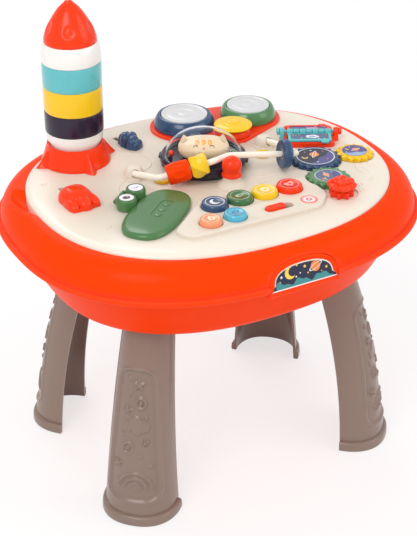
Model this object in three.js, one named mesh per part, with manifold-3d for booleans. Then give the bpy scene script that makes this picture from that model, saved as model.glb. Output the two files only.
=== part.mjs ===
// Toddler activity table: a lidded tub on four channel legs, with a lift-off toy panel.
// Millimetres, +Z up, origin on the floor under the middle of the tub, +X to the right along the front.
import * as THREE from "three";
import { mergeVertices } from "three/addons/utils/BufferGeometryUtils.js";
import Module from "manifold-3d";

const wasm = await Module();
wasm.setup();

// Shared fits and fineness
const seatGap = 0.3; // between pieces that touch
const runGap = 0.5; // round pieces that move
const overrun = 1; // how far a cutter runs past its face
const weld = 0.06; // facets thinner than this are merged after a cut
const samePoint = 1e-4; // points nearer than this are one
const ovalSides = 36;
const saucerSides = 24;
const lidSides = 22;
const roundSides = 18;
const buttonSides = 16;
const knobSides = 14;
const beadSides = 12;
const smallSides = 10;
const pillarSides = 8;
const pinSides = 6;
const cornerSteps = 3; // facets round a corner of an outline
const pillShare = 0.4878; // the rounding of a pill's ends against its width
const roundIn = 0.3; // share of a rounding still left at its middle facet
const corner = Math.PI / 2;
const degree = Math.PI / 180;

// Main sizes
const topHeight = 331; // the play surface above the floor
const sheetShare = 4;
const sheet = sheetShare * topHeight; // wider than any piece
const lipDrop = 35.6; // from the play surface down to the lip that carries the rim
const lipOutline = { halfLength: 229.5, halfWidth: 195, squareness: 2.4 };
const rimBand = { sides: 31.2, ends: 27.8, squareness: 2.31 }; // from the lip in to the panel
const panelOutline = {
  halfLength: lipOutline.halfLength - rimBand.sides,
  halfWidth: lipOutline.halfWidth - rimBand.ends,
  squareness: rimBand.squareness,
};

// Tub
const tub = {
  depth: 70.4,
  lipHeight: 7.4,
  flare: 57.5,
  wall: 3,
  lipRound: 3,
  lipWidth: 15.5,
};
const lipTop = topHeight - lipDrop;
const lipBottom = lipTop - tub.lipHeight;
const tubBottom = lipTop - tub.depth;
const bowlShares = [
  [1, 0], [0.86, 0.03], [0.73, 0.14], [0.58, 0.4], [0.42, 0.68], [0.27, 0.95],
];

// Rim ring round the panel
const rim = { inset: 4.5, wall: 3, crestDrop: 5, slack: 0.5, ledge: 8, ledgeThick: 3 };
const rimArcShares = [0, 0.14, 0.38, 0.68, 1];
const scoop = { x: -193, y: 38, lift: 9, length: 60, width: 17, depth: 24, turn: 100 * degree };

// Front bezel: an arched insert across the rim and the lip
const bezel = {
  x: 3, width: 80, straight: 12, height: 35, footDrop: 47, back: 15, tilt: 16 * degree,
  edge: 5, sink: 1.6,
};
const bezelFoot = topHeight - bezel.footDrop;
const shoulderShare = 0.8;
const crownShare = 0.62;
const archSteps = 8;

// Legs
const leg = {
  x: 135,
  y: 94,
  lean: 42,
  bow: 9,
  footHalfWidth: 41,
  topHalfWidth: 27,
  footDepth: 44,
  topDepth: 36,
  wall: 3,
  roundness: 2.3,
  flare: 3.5,
  flareHeight: 15,
  plate: 3,
  plugRadius: 10,
  plugHeight: 4.4,
  socketWall: 3,
  steps: 10,
};
const legShares = [0, 0.33, 0.67, 1];
const recess = { low: 36, highDrop: 53, depth: 1.5, lowHalf: 24, highHalf: 15, corner: 14, steps: 4 };

// Panel shell
const panel = { wall: 2.8, edgeRise: 5, skirt: 19, round: 14 };
const edgeShares = [
  [0, 0], [0.05, 0.36], [0.2, 0.7], [0.5, 0.92], [1, 1],
];
const plateau = { rise: 4, round: 1.2, corner: 9 };
const plateauX = { left: 99.3, frontLeft: 88, frontRight: 62, right: 83, backLeft: 41.9 };
const plateauY = {
  left: 106.6, frontLeft: 126, frontRight: 130, right: 108, backRight: 61, backLeft: 56.7,
};
const plateauPoints = [
  { x: -plateauX.left, y: -plateauY.left },
  { x: -plateauX.frontLeft, y: -plateauY.frontLeft },
  { x: plateauX.frontRight, y: -plateauY.frontRight },
  { x: plateauX.right, y: -plateauY.right },
  { x: plateauX.right, y: -plateauY.backRight },
  { x: -plateauX.backLeft, y: -plateauY.backLeft },
];

// Panel base with its battery bay
const base = { drop: 35, floor: 2.4, wall: 2.4, inset: 17.2, postRadius: 4 };
const baseBottom = topHeight - base.drop;
const postInsets = [
  { side: -1, inX: 48.3, end: 1, inY: 92.2 },
  { side: 1, inX: 48.3, end: 1, inY: 107.2 },
  { side: -1, inX: 102.3, end: -1, inY: 49.2 },
  { side: 1, inX: 70.3, end: -1, inY: 67.2 },
  { side: 0, inX: 0, end: 1, inY: 29.2 },
];
const basePosts = postInsets.map(({ side, inX, end, inY }) => ({
  x: side * (panelOutline.halfLength - inX),
  y: end * (panelOutline.halfWidth - inY),
}));
const bay = { x: 0, y: 40, length: 51.5, width: 47, wall: 2, lip: 3, doorThick: 2.2 };
const cell = { radius: 7.1, length: 48.6, capRadius: 2.7, capLength: 1.4, pitch: 15.4, count: 3 };
const speaker = {
  inX: 94.3, inY: 105.2, radius: 22, magnet: 12, height: 11, flange: 3, slots: 5, slotWidth: 2.4,
  slotPitch: 5.5,
};
const speakerX = panelOutline.halfLength - speaker.inX;
const speakerY = panelOutline.halfWidth - speaker.inY;
const magnetShare = 0.6;
const board = {
  thick: 1.6, domeRadius: 3.2, domeHeight: 1.6, bossRadius: 3, corner: 3, left: 66, right: 79,
  front: 120, back: 67, backLeft: 44, leftBack: 92,
};
const boardPoints = [
  { x: -board.left, y: -board.front },
  { x: board.right, y: -board.front },
  { x: board.right, y: -board.back },
  { x: -board.backLeft, y: -board.back },
  { x: -board.left, y: -board.leftBack },
];
const bossX = { left: 60, middle: 4, frontRight: 60, right: 74 };
const bossY = { left: 90, front: 112, right: 74 };
const boardPosts = [
  { x: -bossX.left, y: -bossY.left },
  { x: -bossX.middle, y: -bossY.front },
  { x: bossX.frontRight, y: -bossY.front },
  { x: bossX.right, y: -bossY.right },
];

// Rocket
const rocket = {
  x: -111, y: 103, radius: 32.2, wall: 2.4, spigot: 5.6, coneTop: 22.5, dish: 3.8,
  dishRadius: 28.8,
};
const coneShares = [
  [1.19, 0], [1.18, 0.1], [1.12, 0.3], [1.04, 0.66], [0.975, 0.94], [0.96, 1],
];
const fin = {
  reach: 35, length: 13, width: 7.5, height: 19, tipReach: 30.5, tipLength: 3,
  tipWidth: 1.6, sides: 10,
};
const stackHeights = {
  cupLow: 18.7, ringPurple: 23.8, ringYellow: 27.5, ringTeal: 26.9, cupHigh: 21.6,
  nose: 44.6,
};
const noseShares = [
  [0.888, 0], [0.87, 0.13], [0.76, 0.35], [0.58, 0.58], [0.38, 0.79], [0.14, 0.97],
];
const cupLowShares = [
  [0.84, 0], [0.87, 0.2], [0.96, 0.55], [1, 1],
];
const cupHighShares = [
  [1, 0], [1, 0.4], [0.975, 0.7], [0.93, 0.9], [0.888, 1],
];
const ringShares = [
  [1, 0], [1, 1],
];
const stopShare = 1.5; // how far below its top a stacking piece's bore may still taper, against its wall

// Drums and cymbal on their plate
const plate = { thick: 3, margin: 5 };
const drum = { height: 14, bore: 0.6, padThick: 5, padRise: 1.4, padRound: 1.2 };
const blueDrum = { x: 34, y: 119, radius: 35, pad: 26.8 };
const greenDrum = { x: 111.5, y: 106, radius: 32.5, pad: 24.8 };
const drumShares = [
  [1, 0], [1, 0.3], [0.965, 0.62], [0.9, 0.9], [0.86, 1],
];
const cymbal = {
  x: 71.5, y: 71.5, standRadius: 19.8, standHeight: 8, postRadius: 3, postHeight: 3.4,
  radius: 22, height: 8,
};
const cymbalShares = [
  [0.62, 0], [0.97, 0.2], [1, 0.34], [0.93, 0.5], [0.66, 0.7], [0.4, 0.78], [0.36, 0.92], [0.24, 1],
];
const standShares = [
  [1, 0], [1, 0.45], [0.94, 0.8], [0.84, 1],
];

// Saucer with its dome and figure
const saucer = {
  x: 6.5, y: 23.5, radius: 48, reach: 49.6, height: 13.6, dish: 8.4, tabs: 10,
  postRadius: 5, postHeight: 6,
};
const saucerShares = [
  [0.89, 0], [0.91, 0.1], [1, 0.5], [1, 0.68], [0.945, 1],
];
const tab = { length: 9, width: 13, low: 6.4, high: 9.6 };
const dome = { radius: 42.3, height: 29, wall: 1.6, seat: 2.4 };
const domeSteps = 6;
const cat = {
  headWidth: 28, headDepth: 21, headHeight: 12.3, headLift: 12.2, bodyRadius: 17,
  turn: -28 * degree,
};
const ear = { along: 17.5, radius: 7.5, height: 12, lift: 13.4, lean: 2, flat: 0.6, sides: 8 };

// Joystick in its cone
const cone = {
  x: 7.6, y: -36.5, rim: 1.5, footRadius: 16, topRadius: 9.5, slope: 6.2, height: 12,
  boreRadius: 7.5,
};
const stick = {
  pivotDrop: 2, cap: 10.1, capWall: 1.4, capAngle: 80 * degree, ball: 11.35, ballLift: 13,
  stem: 2.6, tail: 4,
};
const capSteps = 4;
const collarSteps = 2;
const ballSteps = 6;
const gimbal = { inner: 4.6, outer: 6.4, height: 3, pin: 1, pinReach: 8.8, stemReach: 5.9 };

// Bead rail from post to post
const rail = { radius: 3.5, sides: 4, steps: 28, bend: 6, postRadius: 10.6, postHeight: 12 };
const railPost = { leftX: 74, leftY: 34, rightX: 89.5, rightY: 33 };
const railPosts = [
  { x: -railPost.leftX, y: railPost.leftY },
  { x: railPost.rightX, y: railPost.rightY },
];
const leftFoot = { x: -77, y: 27, rise: 6.6 };
const leftBend = { x: -65.6, y: -7.4, rise: 12.8 };
const crestLeft = { x: -9, y: -25, rise: 26.8 };
const crestRight = { x: 14, y: -18.6, rise: 26.2 };
const rightBend = { x: 92, y: -34, rise: 16.5 };
const rightSide = { x: 95, y: 3, rise: 10.5 };
const rightFoot = { x: 90.5, y: 28, rise: 7 };
const railPoints = [leftFoot, leftBend, crestLeft, crestRight, rightBend, rightSide, rightFoot];
const orangeBead = {
  length: 25, radius: 11.6, atShare: 0.368, waves: 1, wave: 0, twist: 0,
  sides: beadSides,
};
const yellowBead = {
  length: 19, radius: 12, atShare: 0.745, waves: 5, wave: 1.1, twist: 1.4,
  sides: 20,
};
const blueBead = {
  length: 9, radius: 16.5, atShare: 0.808, waves: 8, wave: 0.4, twist: 0,
  sides: 16,
};
const beadGap = 0.6;
const domeShares = [
  [1, 0], [1, 0.35], [0.9, 0.66], [0.62, 0.9], [0, 1],
];
const bendShare = 0.45;
const barrelShares = [
  [0.84, 0], [1, 0.1], [1, 0.9], [0.84, 1],
];
const twistShares = [
  [0.82, 0], [0.95, 0.12], [0.95, 0.5], [0.95, 0.88], [0.82, 1],
];
const discShares = [
  [0.93, 0], [0.98, 0.2], [0.98, 0.8], [0.93, 1],
];

// Lenses
const lens = {
  radius: 9.6, rise: 3, round: 1.4, stem: 7, stemDrop: 5, leftX: 52, leftY: 8.5, rightX: 74.5,
  rightY: 11.5,
};
const lenses = [
  { name: "lens_left", x: -lens.leftX, y: lens.leftY },
  { name: "lens_right", x: lens.rightX, y: lens.rightY },
];

// Flip book, turned on the panel
const book = {
  x: 143.2, y: 23.3, turn: -28 * degree, length: 57, width: 49, height: 6, corner: 8,
  frame: 4, floor: 1.6, round: 1.1,
};
const spine = {
  along: -2.9, lift: 10.4, radius: 1.6, ear: 4.5, earLength: 5.4, head: 4.2,
  headLength: 3.6,
};
const knuckle = { radius: 2.9, length: 6.8, pitch: 7.2, count: 7 };
const page = {
  length: 49, root: 3.6, reach: 21, thick: 2.5, frame: 3.2, sink: 0.8, sag: 4.4 * degree,
  tabLength: 9, tabReach: 4,
};

// Gear train: each gear is placed from the one that drives it
const gearModule = 3;
const gear = {
  height: 6.7, lobe: 1.9, slack: 0.35, mesh: 0.3, hub: 3.7, hubHeight: 3.6, lobeSteps: 5,
};
const gearPocket = { drop: 2, wall: 2.4, gap: 1.6 };
const blueGear = { teeth: 18, x: 119.5, y: -28, phase: 0 };
const yellowGear = { teeth: 13, bearing: -11 * degree };
const greenGear = { teeth: 15, bearing: -106.8 * degree };
const redGear = { teeth: 8, bearing: -99.4 * degree };
const flower = {
  lift: 7.4, radius: 16.4, height: 12.4, petals: 9, depth: 0.9, steps: 4, pocket: 18.3,
};
const flowerShares = [
  [0.93, 0], [1, 0.14], [0.97, 0.42], [0.8, 0.66], [0.62, 0.74], [0.52, 0.93], [0.3, 1],
];

// Console controls
const button = {
  gap: 0.6, rise: 5.6, round: 2.2, catch: 1.2, catchWidth: 9, catchThick: 2, travel: 2.5,
};
const buttonRadius = 14.2;
const smallButtonRadius = 12;
const buttons = [
  { name: "button_blue", x: -36.3, y: -77.5, radius: buttonRadius, color: 0x2f4468 },
  { name: "button_green", x: -6.3, y: -77.4, radius: buttonRadius, color: 0x3f6b48 },
  { name: "button_yellow", x: 23.4, y: -78.4, radius: buttonRadius, color: 0xffcf3a },
  { name: "button_red", x: 53, y: -79.8, radius: buttonRadius, color: 0xe8382a },
  { name: "button_salmon", x: -57.6, y: -107.6, radius: smallButtonRadius, color: 0xf79a6f },
  { name: "button_light_blue", x: -29.2, y: -107.8, radius: smallButtonRadius, color: 0x5fb8cf },
];
const toggle = {
  x: 21, y: -111.5, slotLength: 32.5, slotWidth: 11, knobLength: 23, rise: 2.6, round: 1,
  flange: 2, flangeThick: 2, steps: 4,
};

// Sliding toys
const slideSlot = { width: 6, corner: 1, flange: 4.5, flangeThick: 2 };
const toyRound = 3;
const redToyShares = [
  [0, 0], [1, 0], [1, 0.35], [0.9, 0.72], [0.72, 0.94], [0.5, 1], [0.28, 0.92], [0.1, 0.66], [0, 0.4],
];
const blueToyShares = [
  [0, 0], [1, 0], [1, 0.5], [0.88, 0.88], [0.66, 1], [0.4, 0.96], [0.16, 0.72], [0.03, 0.4],
];
const redSlider = {
  x: -153, y: 6, length: 46, width: 36, height: 15, turn: 4 * degree, travel: 26, stem: 16,
  stemAlong: 6,
};
const blueSlider = {
  x: -42, y: 107, length: 33, width: 22, height: 15, turn: 16 * degree, travel: 20,
  stem: 10, stemAlong: 2,
};

// Frog lid over its well, turned on the panel
const frog = {
  x: -95.5, y: -61.5, turn: 41 * degree, halfLength: 54, halfWidth: 28.3, squareness: 2.7,
};
const lid = { height: 6.4, round: 4.5, wall: 2.6, ease: 0.5 };
const well = { inset: 6, depth: 14, wall: 2 };
const eyes = { along: [5.1, 29.7], off: 35.5, radius: 10.8, height: 14, lift: 1.3 };
const eyeShares = [
  [1, 0], [1, 0.7], [0.93, 0.9], [0.8, 1], [0, 1],
];
const eyeSides = 14;
const frogHinge = { off: 48.7, lift: 5, radius: 2.4, pin: 1.4, barrel: 9, lug: 6, sides: 8 };

// Finishes
const finish = (values) => new THREE.MeshStandardMaterial(values);
const paint = (color, roughness = 0.35) => finish({ color, roughness, metalness: 0 });
const orangeRed = paint(0xff4a10);
const red = paint(0xf5331c, 0.25);
const cream = paint(0xefe6d5, 0.5);
const white = paint(0xf4f1ea, 0.3);
const taupe = paint(0x8e7c74, 0.5);
const teal = paint(0x78cccb, 0.3);
const yellow = paint(0xffd23a, 0.3);
const purple = paint(0x35273d, 0.25);
const navy = paint(0x3b506f, 0.3);
const green = paint(0x5f8b57, 0.3);
const padWhite = paint(0xe4e4e8, 0.4);
const clear = finish({ color: 0xdfe8ea, roughness: 0.05, transparent: true, opacity: 0.3 });
const boardGreen = paint(0x2c6a45, 0.6);
const steel = finish({ color: 0x9aa0a5, roughness: 0.4, metalness: 0.8 });

const table = new THREE.Group();

// Adds a named piece, placed in the part's frame.
function piece(name, geometry, material, x = 0, y = 0, z = 0, turn = 0) {
  const mesh = new THREE.Mesh(geometry, material);
  mesh.name = name;
  mesh.position.set(x, y, z);
  mesh.rotation.z = turn;
  table.add(mesh);
  return mesh;
}

// Joining and cutting

function solidOf(geometry) {
  const bare = geometry.clone();
  bare.deleteAttribute("normal");
  bare.deleteAttribute("uv");
  const merged = mergeVertices(bare, samePoint);
  const index = merged.index.array;
  const kept = [];
  for (let i = 0; i < index.length; i += 3) {
    const [a, b, c] = [index[i], index[i + 1], index[i + 2]];
    if (a !== b && b !== c && c !== a) kept.push(a, b, c);
  }
  const vertProperties = Float32Array.from(merged.attributes.position.array);
  return new wasm.Manifold(new wasm.Mesh({ numProp: 3, vertProperties, triVerts: Uint32Array.from(kept) }));
}

function geometryOf(solid) {
  const mesh = solid.simplify(weld).getMesh();
  const geometry = new THREE.BufferGeometry();
  geometry.setAttribute("position", new THREE.BufferAttribute(mesh.vertProperties.slice(), 3));
  geometry.setIndex(new THREE.BufferAttribute(mesh.triVerts.slice(), 1));
  geometry.computeVertexNormals();
  return geometry;
}

function cut(body, ...tools) {
  return geometryOf(tools.reduce((rest, tool) => rest.subtract(solidOf(tool)), solidOf(body)));
}

function join(body, ...more) {
  return geometryOf(more.reduce((whole, next) => whole.add(solidOf(next)), solidOf(body)));
}

const overlap = (body, other) => geometryOf(solidOf(body).intersect(solidOf(other)));

// Moves a copy of a geometry: first the turn about Z, then the shift.
function moved(geometry, x, y, z = 0, turn = 0) {
  return geometry.clone().rotateZ(turn).translate(x, y, z);
}

// Basic forms

const power = (value, exponent) => Math.sign(value) * Math.abs(value) ** exponent;

// A level ring of points on a rounded oblong, counter-clockwise from above.
function oblong(outline, inset, z, sides = ovalSides) {
  const exponent = 2 / outline.squareness;
  return Array.from({ length: sides }, (_, i) => {
    const angle = (i / sides) * 2 * Math.PI;
    const x = (outline.halfLength - inset) * power(Math.cos(angle), exponent);
    const y = (outline.halfWidth - inset) * power(Math.sin(angle), exponent);
    return new THREE.Vector3(x, y, z);
  });
}

// Skins a stack of rings. The ends are capped, or the last ring meets the first.
function skin(rings, endless = false) {
  const count = rings[0].length;
  const points = rings.flat();
  const index = [];
  const rows = endless ? rings.length : rings.length - 1;
  for (let row = 0; row < rows; row++) {
    const low = row * count;
    const high = ((row + 1) % rings.length) * count;
    for (let i = 0; i < count; i++) {
      const next = (i + 1) % count;
      index.push(low + i, low + next, high + next, low + i, high + next, high + i);
    }
  }
  if (!endless) {
    const top = (rings.length - 1) * count;
    for (const [a, b, c] of capOf(rings[0])) index.push(c, b, a);
    for (const [a, b, c] of capOf(rings[rings.length - 1])) index.push(top + a, top + b, top + c);
  }
  const geometry = new THREE.BufferGeometry().setFromPoints(points);
  geometry.setIndex(index);
  geometry.computeVertexNormals();
  return geometry;
}

function capOf(ring) {
  const flat = ring.map((p) => new THREE.Vector2(p.x, p.y));
  return THREE.ShapeUtils.triangulateShape(flat, []).map(([a, b, c]) => {
    const turn = flat[b].clone().sub(flat[a]).cross(flat[c].clone().sub(flat[a]));
    return turn > 0 ? [a, b, c] : [a, c, b];
  });
}

// A turned form about Z from a profile of [radius, height] pairs.
function turned(profile, sides = roundSides) {
  const points = profile.map(([radius, height]) => new THREE.Vector2(radius, height));
  return new THREE.LatheGeometry(points, sides).rotateX(corner);
}

function disc(radius, low, high, sides = roundSides) {
  return turned([[0, low], [radius, low], [radius, high], [0, high]], sides);
}

// A turned ring from inner to outer radius.
function washer(inner, outer, low, high, sides = roundSides) {
  return turned([[inner, low], [outer, low], [outer, high], [inner, high], [inner, low]], sides);
}

function block(length, width, low, high) {
  return new THREE.BoxGeometry(length, width, high - low).translate(0, 0, (low + high) / 2);
}

// A level slab of a closed outline.
function slab(shape, low, high, curveSegments = cornerSteps) {
  const options = { depth: high - low, bevelEnabled: false, curveSegments };
  return new THREE.ExtrudeGeometry(shape, options).translate(0, 0, low);
}

// A slab whose upper edge is rounded in by one bevel.
function softSlab(shape, low, high, round, curveSegments = cornerSteps) {
  const bevel = { bevelThickness: round, bevelSize: round, bevelOffset: -round, bevelSegments: 1 };
  const body = new THREE.ExtrudeGeometry(shape, { depth: high - low - round, ...bevel, curveSegments });
  return cut(body.translate(0, 0, low), block(sheet, sheet, low - round - overrun, low));
}

// An outline through points with every corner rounded.
function rounded(points, radius) {
  const shape = new THREE.Shape();
  points.forEach((p, i) => {
    const before = points[(i + points.length - 1) % points.length];
    const after = points[(i + 1) % points.length];
    const start = toward(p, before, radius);
    const end = toward(p, after, radius);
    if (i === 0) shape.moveTo(start.x, start.y);
    else shape.lineTo(start.x, start.y);
    shape.quadraticCurveTo(p.x, p.y, end.x, end.y);
  });
  shape.closePath();
  return shape;
}

function toward(from, to, distance) {
  const step = new THREE.Vector2(to.x - from.x, to.y - from.y).setLength(distance);
  return { x: from.x + step.x, y: from.y + step.y };
}

const pill = (length, width) => rounded(rectangle(length, width), width * pillShare);

function rectangle(length, width) {
  const [x, y] = [length / 2, width / 2];
  return [{ x: -x, y: -y }, { x, y: -y }, { x, y }, { x: -x, y }];
}

// Tub, rim and bezel

function tubGeometry() {
  const depth = lipBottom - tubBottom;
  const wallRing = ([insetShare, heightShare], inward) =>
    oblong(lipOutline, insetShare * tub.flare + inward, tubBottom + heightShare * depth + inward);
  const outside = bowlShares.map((share) => wallRing(share, 0));
  const inside = bowlShares.map((share) => wallRing(share, tub.wall)).reverse();
  const lip = [
    oblong(lipOutline, tub.lipRound, lipBottom),
    oblong(lipOutline, 0, lipBottom + tub.lipRound),
    oblong(lipOutline, 0, lipTop - seatGap),
    oblong(lipOutline, tub.lipWidth + tub.wall, lipTop - seatGap),
  ];
  const shell = skin([...outside, ...lip, ...inside]);
  const sockets = legPlaces.map(({ side, end }) => {
    const plugX = side * (leg.x + plugOut / Math.SQRT2);
    const plugY = end * (leg.y + plugOut / Math.SQRT2);
    const radius = leg.plugRadius + runGap;
    const top = tubBottom + leg.plugHeight + seatGap;
    const boss = disc(radius + leg.socketWall, tubBottom + seatGap, top + leg.socketWall, smallSides);
    const hole = disc(radius, tubBottom - overrun, top, smallSides);
    return { boss: moved(boss, plugX, plugY), hole: moved(hole, plugX, plugY) };
  });
  const withBosses = join(shell, ...sockets.map((socket) => socket.boss));
  return cut(withBosses, ...sockets.map((socket) => socket.hole), bezelCutter());
}

function rimGeometry() {
  const foot = lipTop;
  const crest = topHeight - rim.crestDrop;
  const arcRing = (share, inward) => {
    const level = foot + (crest - foot - inward) * Math.sqrt(1 - (1 - share) ** 2);
    const outer = oblong(lipOutline, rim.inset + inward, level);
    const inner = oblong(panelOutline, -rim.slack - (inward > 0 ? rim.wall : 0), level);
    return outer.map((p, i) => new THREE.Vector3().lerpVectors(p, inner[i], share));
  };
  const seat = topHeight - panel.skirt - seatGap;
  const outside = rimArcShares.map((share) => arcRing(share, 0));
  const ledge = [
    oblong(panelOutline, -rim.slack, seat),
    oblong(panelOutline, rim.ledge, seat),
    oblong(panelOutline, rim.ledge, seat - rim.ledgeThick),
    oblong(panelOutline, -rim.slack - rim.wall, seat - rim.ledgeThick),
  ];
  const inside = rimArcShares.slice(0, -1).map((share) => arcRing(share, rim.wall)).reverse();
  const ring = skin([...outside, ...ledge, ...inside], true);
  const filled = skin([...outside, oblong(panelOutline, -rim.slack, foot)], true);
  const backing = overlap(scoopTool(rim.wall), filled);
  return cut(join(ring, backing), scoopTool(0), bezelCutter());
}

function scoopTool(grow) {
  const ball = new THREE.SphereGeometry(1, smallSides, smallSides);
  ball.scale(scoop.length + grow, scoop.width + grow, scoop.depth + grow);
  return moved(ball, scoop.x, scoop.y, topHeight + scoop.lift, scoop.turn);
}

// The arch of the front bezel, upright in X and Y, grown by a margin.
function arch(margin) {
  const half = bezel.width / 2 + margin;
  const shape = new THREE.Shape();
  shape.moveTo(-half, -margin);
  shape.lineTo(half, -margin);
  shape.lineTo(half, bezel.straight);
  const crown = bezel.height + margin;
  const shoulder = bezel.height * shoulderShare;
  shape.bezierCurveTo(half, shoulder, half * crownShare, crown, 0, crown);
  shape.bezierCurveTo(-half * crownShare, crown, -half, shoulder, -half, bezel.straight);
  shape.closePath();
  return shape;
}

// Stands an arch prism up on the front, leaning back as the rim does.
function standArch(shape, front, back) {
  const options = { depth: back - front, bevelEnabled: false, curveSegments: archSteps };
  const prism = new THREE.ExtrudeGeometry(shape, options).translate(0, 0, -back);
  return prism.rotateX(corner - bezel.tilt).translate(bezel.x, -lipOutline.halfWidth, bezelFoot);
}

const bezelCutter = () => standArch(arch(seatGap), -bezel.back, bezel.back);

function bezelGeometry() {
  const body = standArch(arch(0), 0, bezel.back - seatGap);
  return cut(body, standArch(arch(-bezel.edge), -overrun, bezel.sink));
}

// Legs

const legPlaces = [
  { name: "leg_front_left", side: -1, end: -1 },
  { name: "leg_front_right", side: 1, end: -1 },
  { name: "leg_back_left", side: -1, end: 1 },
  { name: "leg_back_right", side: 1, end: 1 },
];

const recessTop = tubBottom - recess.highDrop;

// How far out from a leg's foot, along its diagonal, its plug stands.
const plugOut = leg.topDepth / 2 - leg.lean;

// One level section of a leg: it bulges outward along +X, and its open side is at the back.
function legSection(z, grow = 0, cutBack = 0) {
  const share = z / (tubBottom - seatGap);
  const halfWidth = THREE.MathUtils.lerp(leg.footHalfWidth, leg.topHalfWidth, share) + grow;
  const depth = THREE.MathUtils.lerp(leg.footDepth, leg.topDepth, share) + grow;
  const open = leg.bow * 4 * share * (1 - share) - leg.lean * share;
  const exponent = 2 / leg.roundness;
  return Array.from({ length: leg.steps + 1 }, (_, i) => {
    const angle = -corner + (i / leg.steps) * Math.PI;
    const end = i === 0 || i === leg.steps;
    const out = end ? -cutBack : depth * Math.cos(angle) ** exponent;
    return new THREE.Vector3(open + out, halfWidth * power(Math.sin(angle), exponent), z);
  });
}

function legGeometry() {
  const top = tubBottom - seatGap;
  const levels = (low, high) => legShares.map((share) => THREE.MathUtils.lerp(low, high, share));
  const body = skin(levels(0, top).map((z) => legSection(z)));
  const flareRows = [[0, leg.flare], [leg.flareHeight - leg.flare, leg.flare], [leg.flareHeight, 0]];
  const flare = skin(flareRows.map(([z, grow]) => legSection(z, grow)));
  const hollow = skin(levels(-overrun, top - leg.plate).map((z) => legSection(z, -leg.wall, leg.wall)));
  const faceLevels = levels(recess.low - overrun, recessTop + overrun);
  const face = skin(faceLevels.map((z) => legSection(z, -recess.depth, overrun)));
  const shell = cut(join(body, flare), hollow, cut(recessPrism(), face));
  const plug = disc(leg.plugRadius, top - overrun, tubBottom + leg.plugHeight, smallSides);
  return join(shell, moved(plug, plugOut, 0));
}

// The outline of the sunk field on a leg's outer face, run outward along +X.
function recessPrism() {
  const outline = [
    { x: -recess.lowHalf, y: recess.low }, { x: recess.lowHalf, y: recess.low },
    { x: recess.highHalf, y: recessTop }, { x: -recess.highHalf, y: recessTop },
  ];
  const depth = leg.footDepth + leg.lean;
  const options = { depth, bevelEnabled: false, curveSegments: recess.steps };
  const prism = new THREE.ExtrudeGeometry(rounded(outline, recess.corner), options);
  return prism.rotateX(corner).rotateZ(corner);
}

// Panel shell, with its plateau, posts, cone, gear pockets and lidded well in one moulding

function panelGeometry() {
  const inner = [
    oblong(panelOutline, panel.round + panel.wall, topHeight - panel.wall),
    oblong(panelOutline, panel.wall, topHeight - panel.edgeRise - panel.wall),
    oblong(panelOutline, panel.wall, topHeight - panel.skirt),
  ];
  const outer = edgeShares.map(([inset, rise]) =>
    oblong(panelOutline, inset * panel.round, topHeight - panel.edgeRise * (1 - rise)));
  const shell = skin([...inner, oblong(panelOutline, 0, topHeight - panel.skirt), ...outer]);
  const solids = [
    plateauSolid(), ...postSolids(), coneSolid(), wellSolid(), frogLug(), ...pocketBackings(),
  ];
  const holes = [
    plateauHollow(), gearPocketTool(), wellHollow(), coneBore(), gimbalHoles(), ...railSockets(),
    ...buttons.map(buttonHole), toggleHole(), ...lenses.map(lensHole),
    slideHole(redSlider), slideHole(blueSlider),
  ];
  const added = [...gearHubs(), ...boardPillars(), saucerPost()];
  return join(cut(join(shell, ...solids), ...holes), ...added);
}

const plateauTop = topHeight + plateau.rise;
const ceiling = topHeight - panel.wall;

function plateauSolid() {
  return softSlab(rounded(plateauPoints, plateau.corner), ceiling + seatGap, plateauTop, plateau.round);
}

function plateauHollow() {
  const shape = rounded(inset(plateauPoints, panel.wall), plateau.corner - panel.wall);
  return slab(shape, ceiling - overrun, plateauTop - panel.wall);
}

// The corners of an outline drawn in by a margin.
function inset(points, margin) {
  const area = points.reduce((sum, p, i) => {
    const q = points[(i + 1) % points.length];
    return sum + p.x * q.y - q.x * p.y;
  }, 0);
  const side = Math.sign(area) * margin;
  return points.map((p, i) => {
    const before = points[(i + points.length - 1) % points.length];
    const after = points[(i + 1) % points.length];
    const a = new THREE.Vector2(p.x - before.x, p.y - before.y).normalize();
    const b = new THREE.Vector2(after.x - p.x, after.y - p.y).normalize();
    const scale = side / (1 + a.dot(b));
    return { x: p.x - (a.y + b.y) * scale, y: p.y + (a.x + b.x) * scale };
  });
}

function postSolids() {
  const { postRadius: radius, postHeight: height } = rail;
  const low = topHeight - overrun;
  const profile = domeShares.map(([r, h]) => [r * radius, low + h * (height + overrun)]);
  return railPosts.map(({ x, y }) => moved(turned([[0, low], ...profile], smallSides), x, y));
}

function coneSolid() {
  const low = ceiling + seatGap;
  const high = topHeight + cone.height;
  const profile = [
    [0, low], [cone.footRadius, low], [cone.footRadius, topHeight + cone.rim],
    [cone.topRadius, topHeight + cone.slope], [cone.topRadius, high], [0, high],
  ];
  return moved(turned(profile), cone.x, cone.y);
}

function coneBore() {
  return moved(disc(cone.boreRadius, ceiling - overrun, topHeight + cone.height + overrun), cone.x, cone.y);
}

const pivotHeight = topHeight + cone.height - stick.pivotDrop;

// A level pin through the joystick's pivot along X.
function levelPin(radius, halfLength) {
  const bar = new THREE.CylinderGeometry(radius, radius, 2 * halfLength, pinSides);
  return bar.rotateZ(corner).translate(0, 0, pivotHeight);
}

const gimbalHoles = () => moved(levelPin(gimbal.pin + seatGap, gimbal.pinReach + seatGap), cone.x, cone.y);

function saucerPost() {
  const post = disc(saucer.postRadius, topHeight - overrun, topHeight + saucer.postHeight, smallSides);
  return moved(post, saucer.x, saucer.y);
}

function buttonHole({ x, y, radius }) {
  return moved(disc(radius + button.gap, ceiling - overrun, plateauTop + overrun, buttonSides), x, y);
}

function toggleHole() {
  const shape = pill(toggle.slotLength, toggle.slotWidth);
  return moved(slab(shape, ceiling - overrun, plateauTop + overrun), toggle.x, toggle.y);
}

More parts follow.
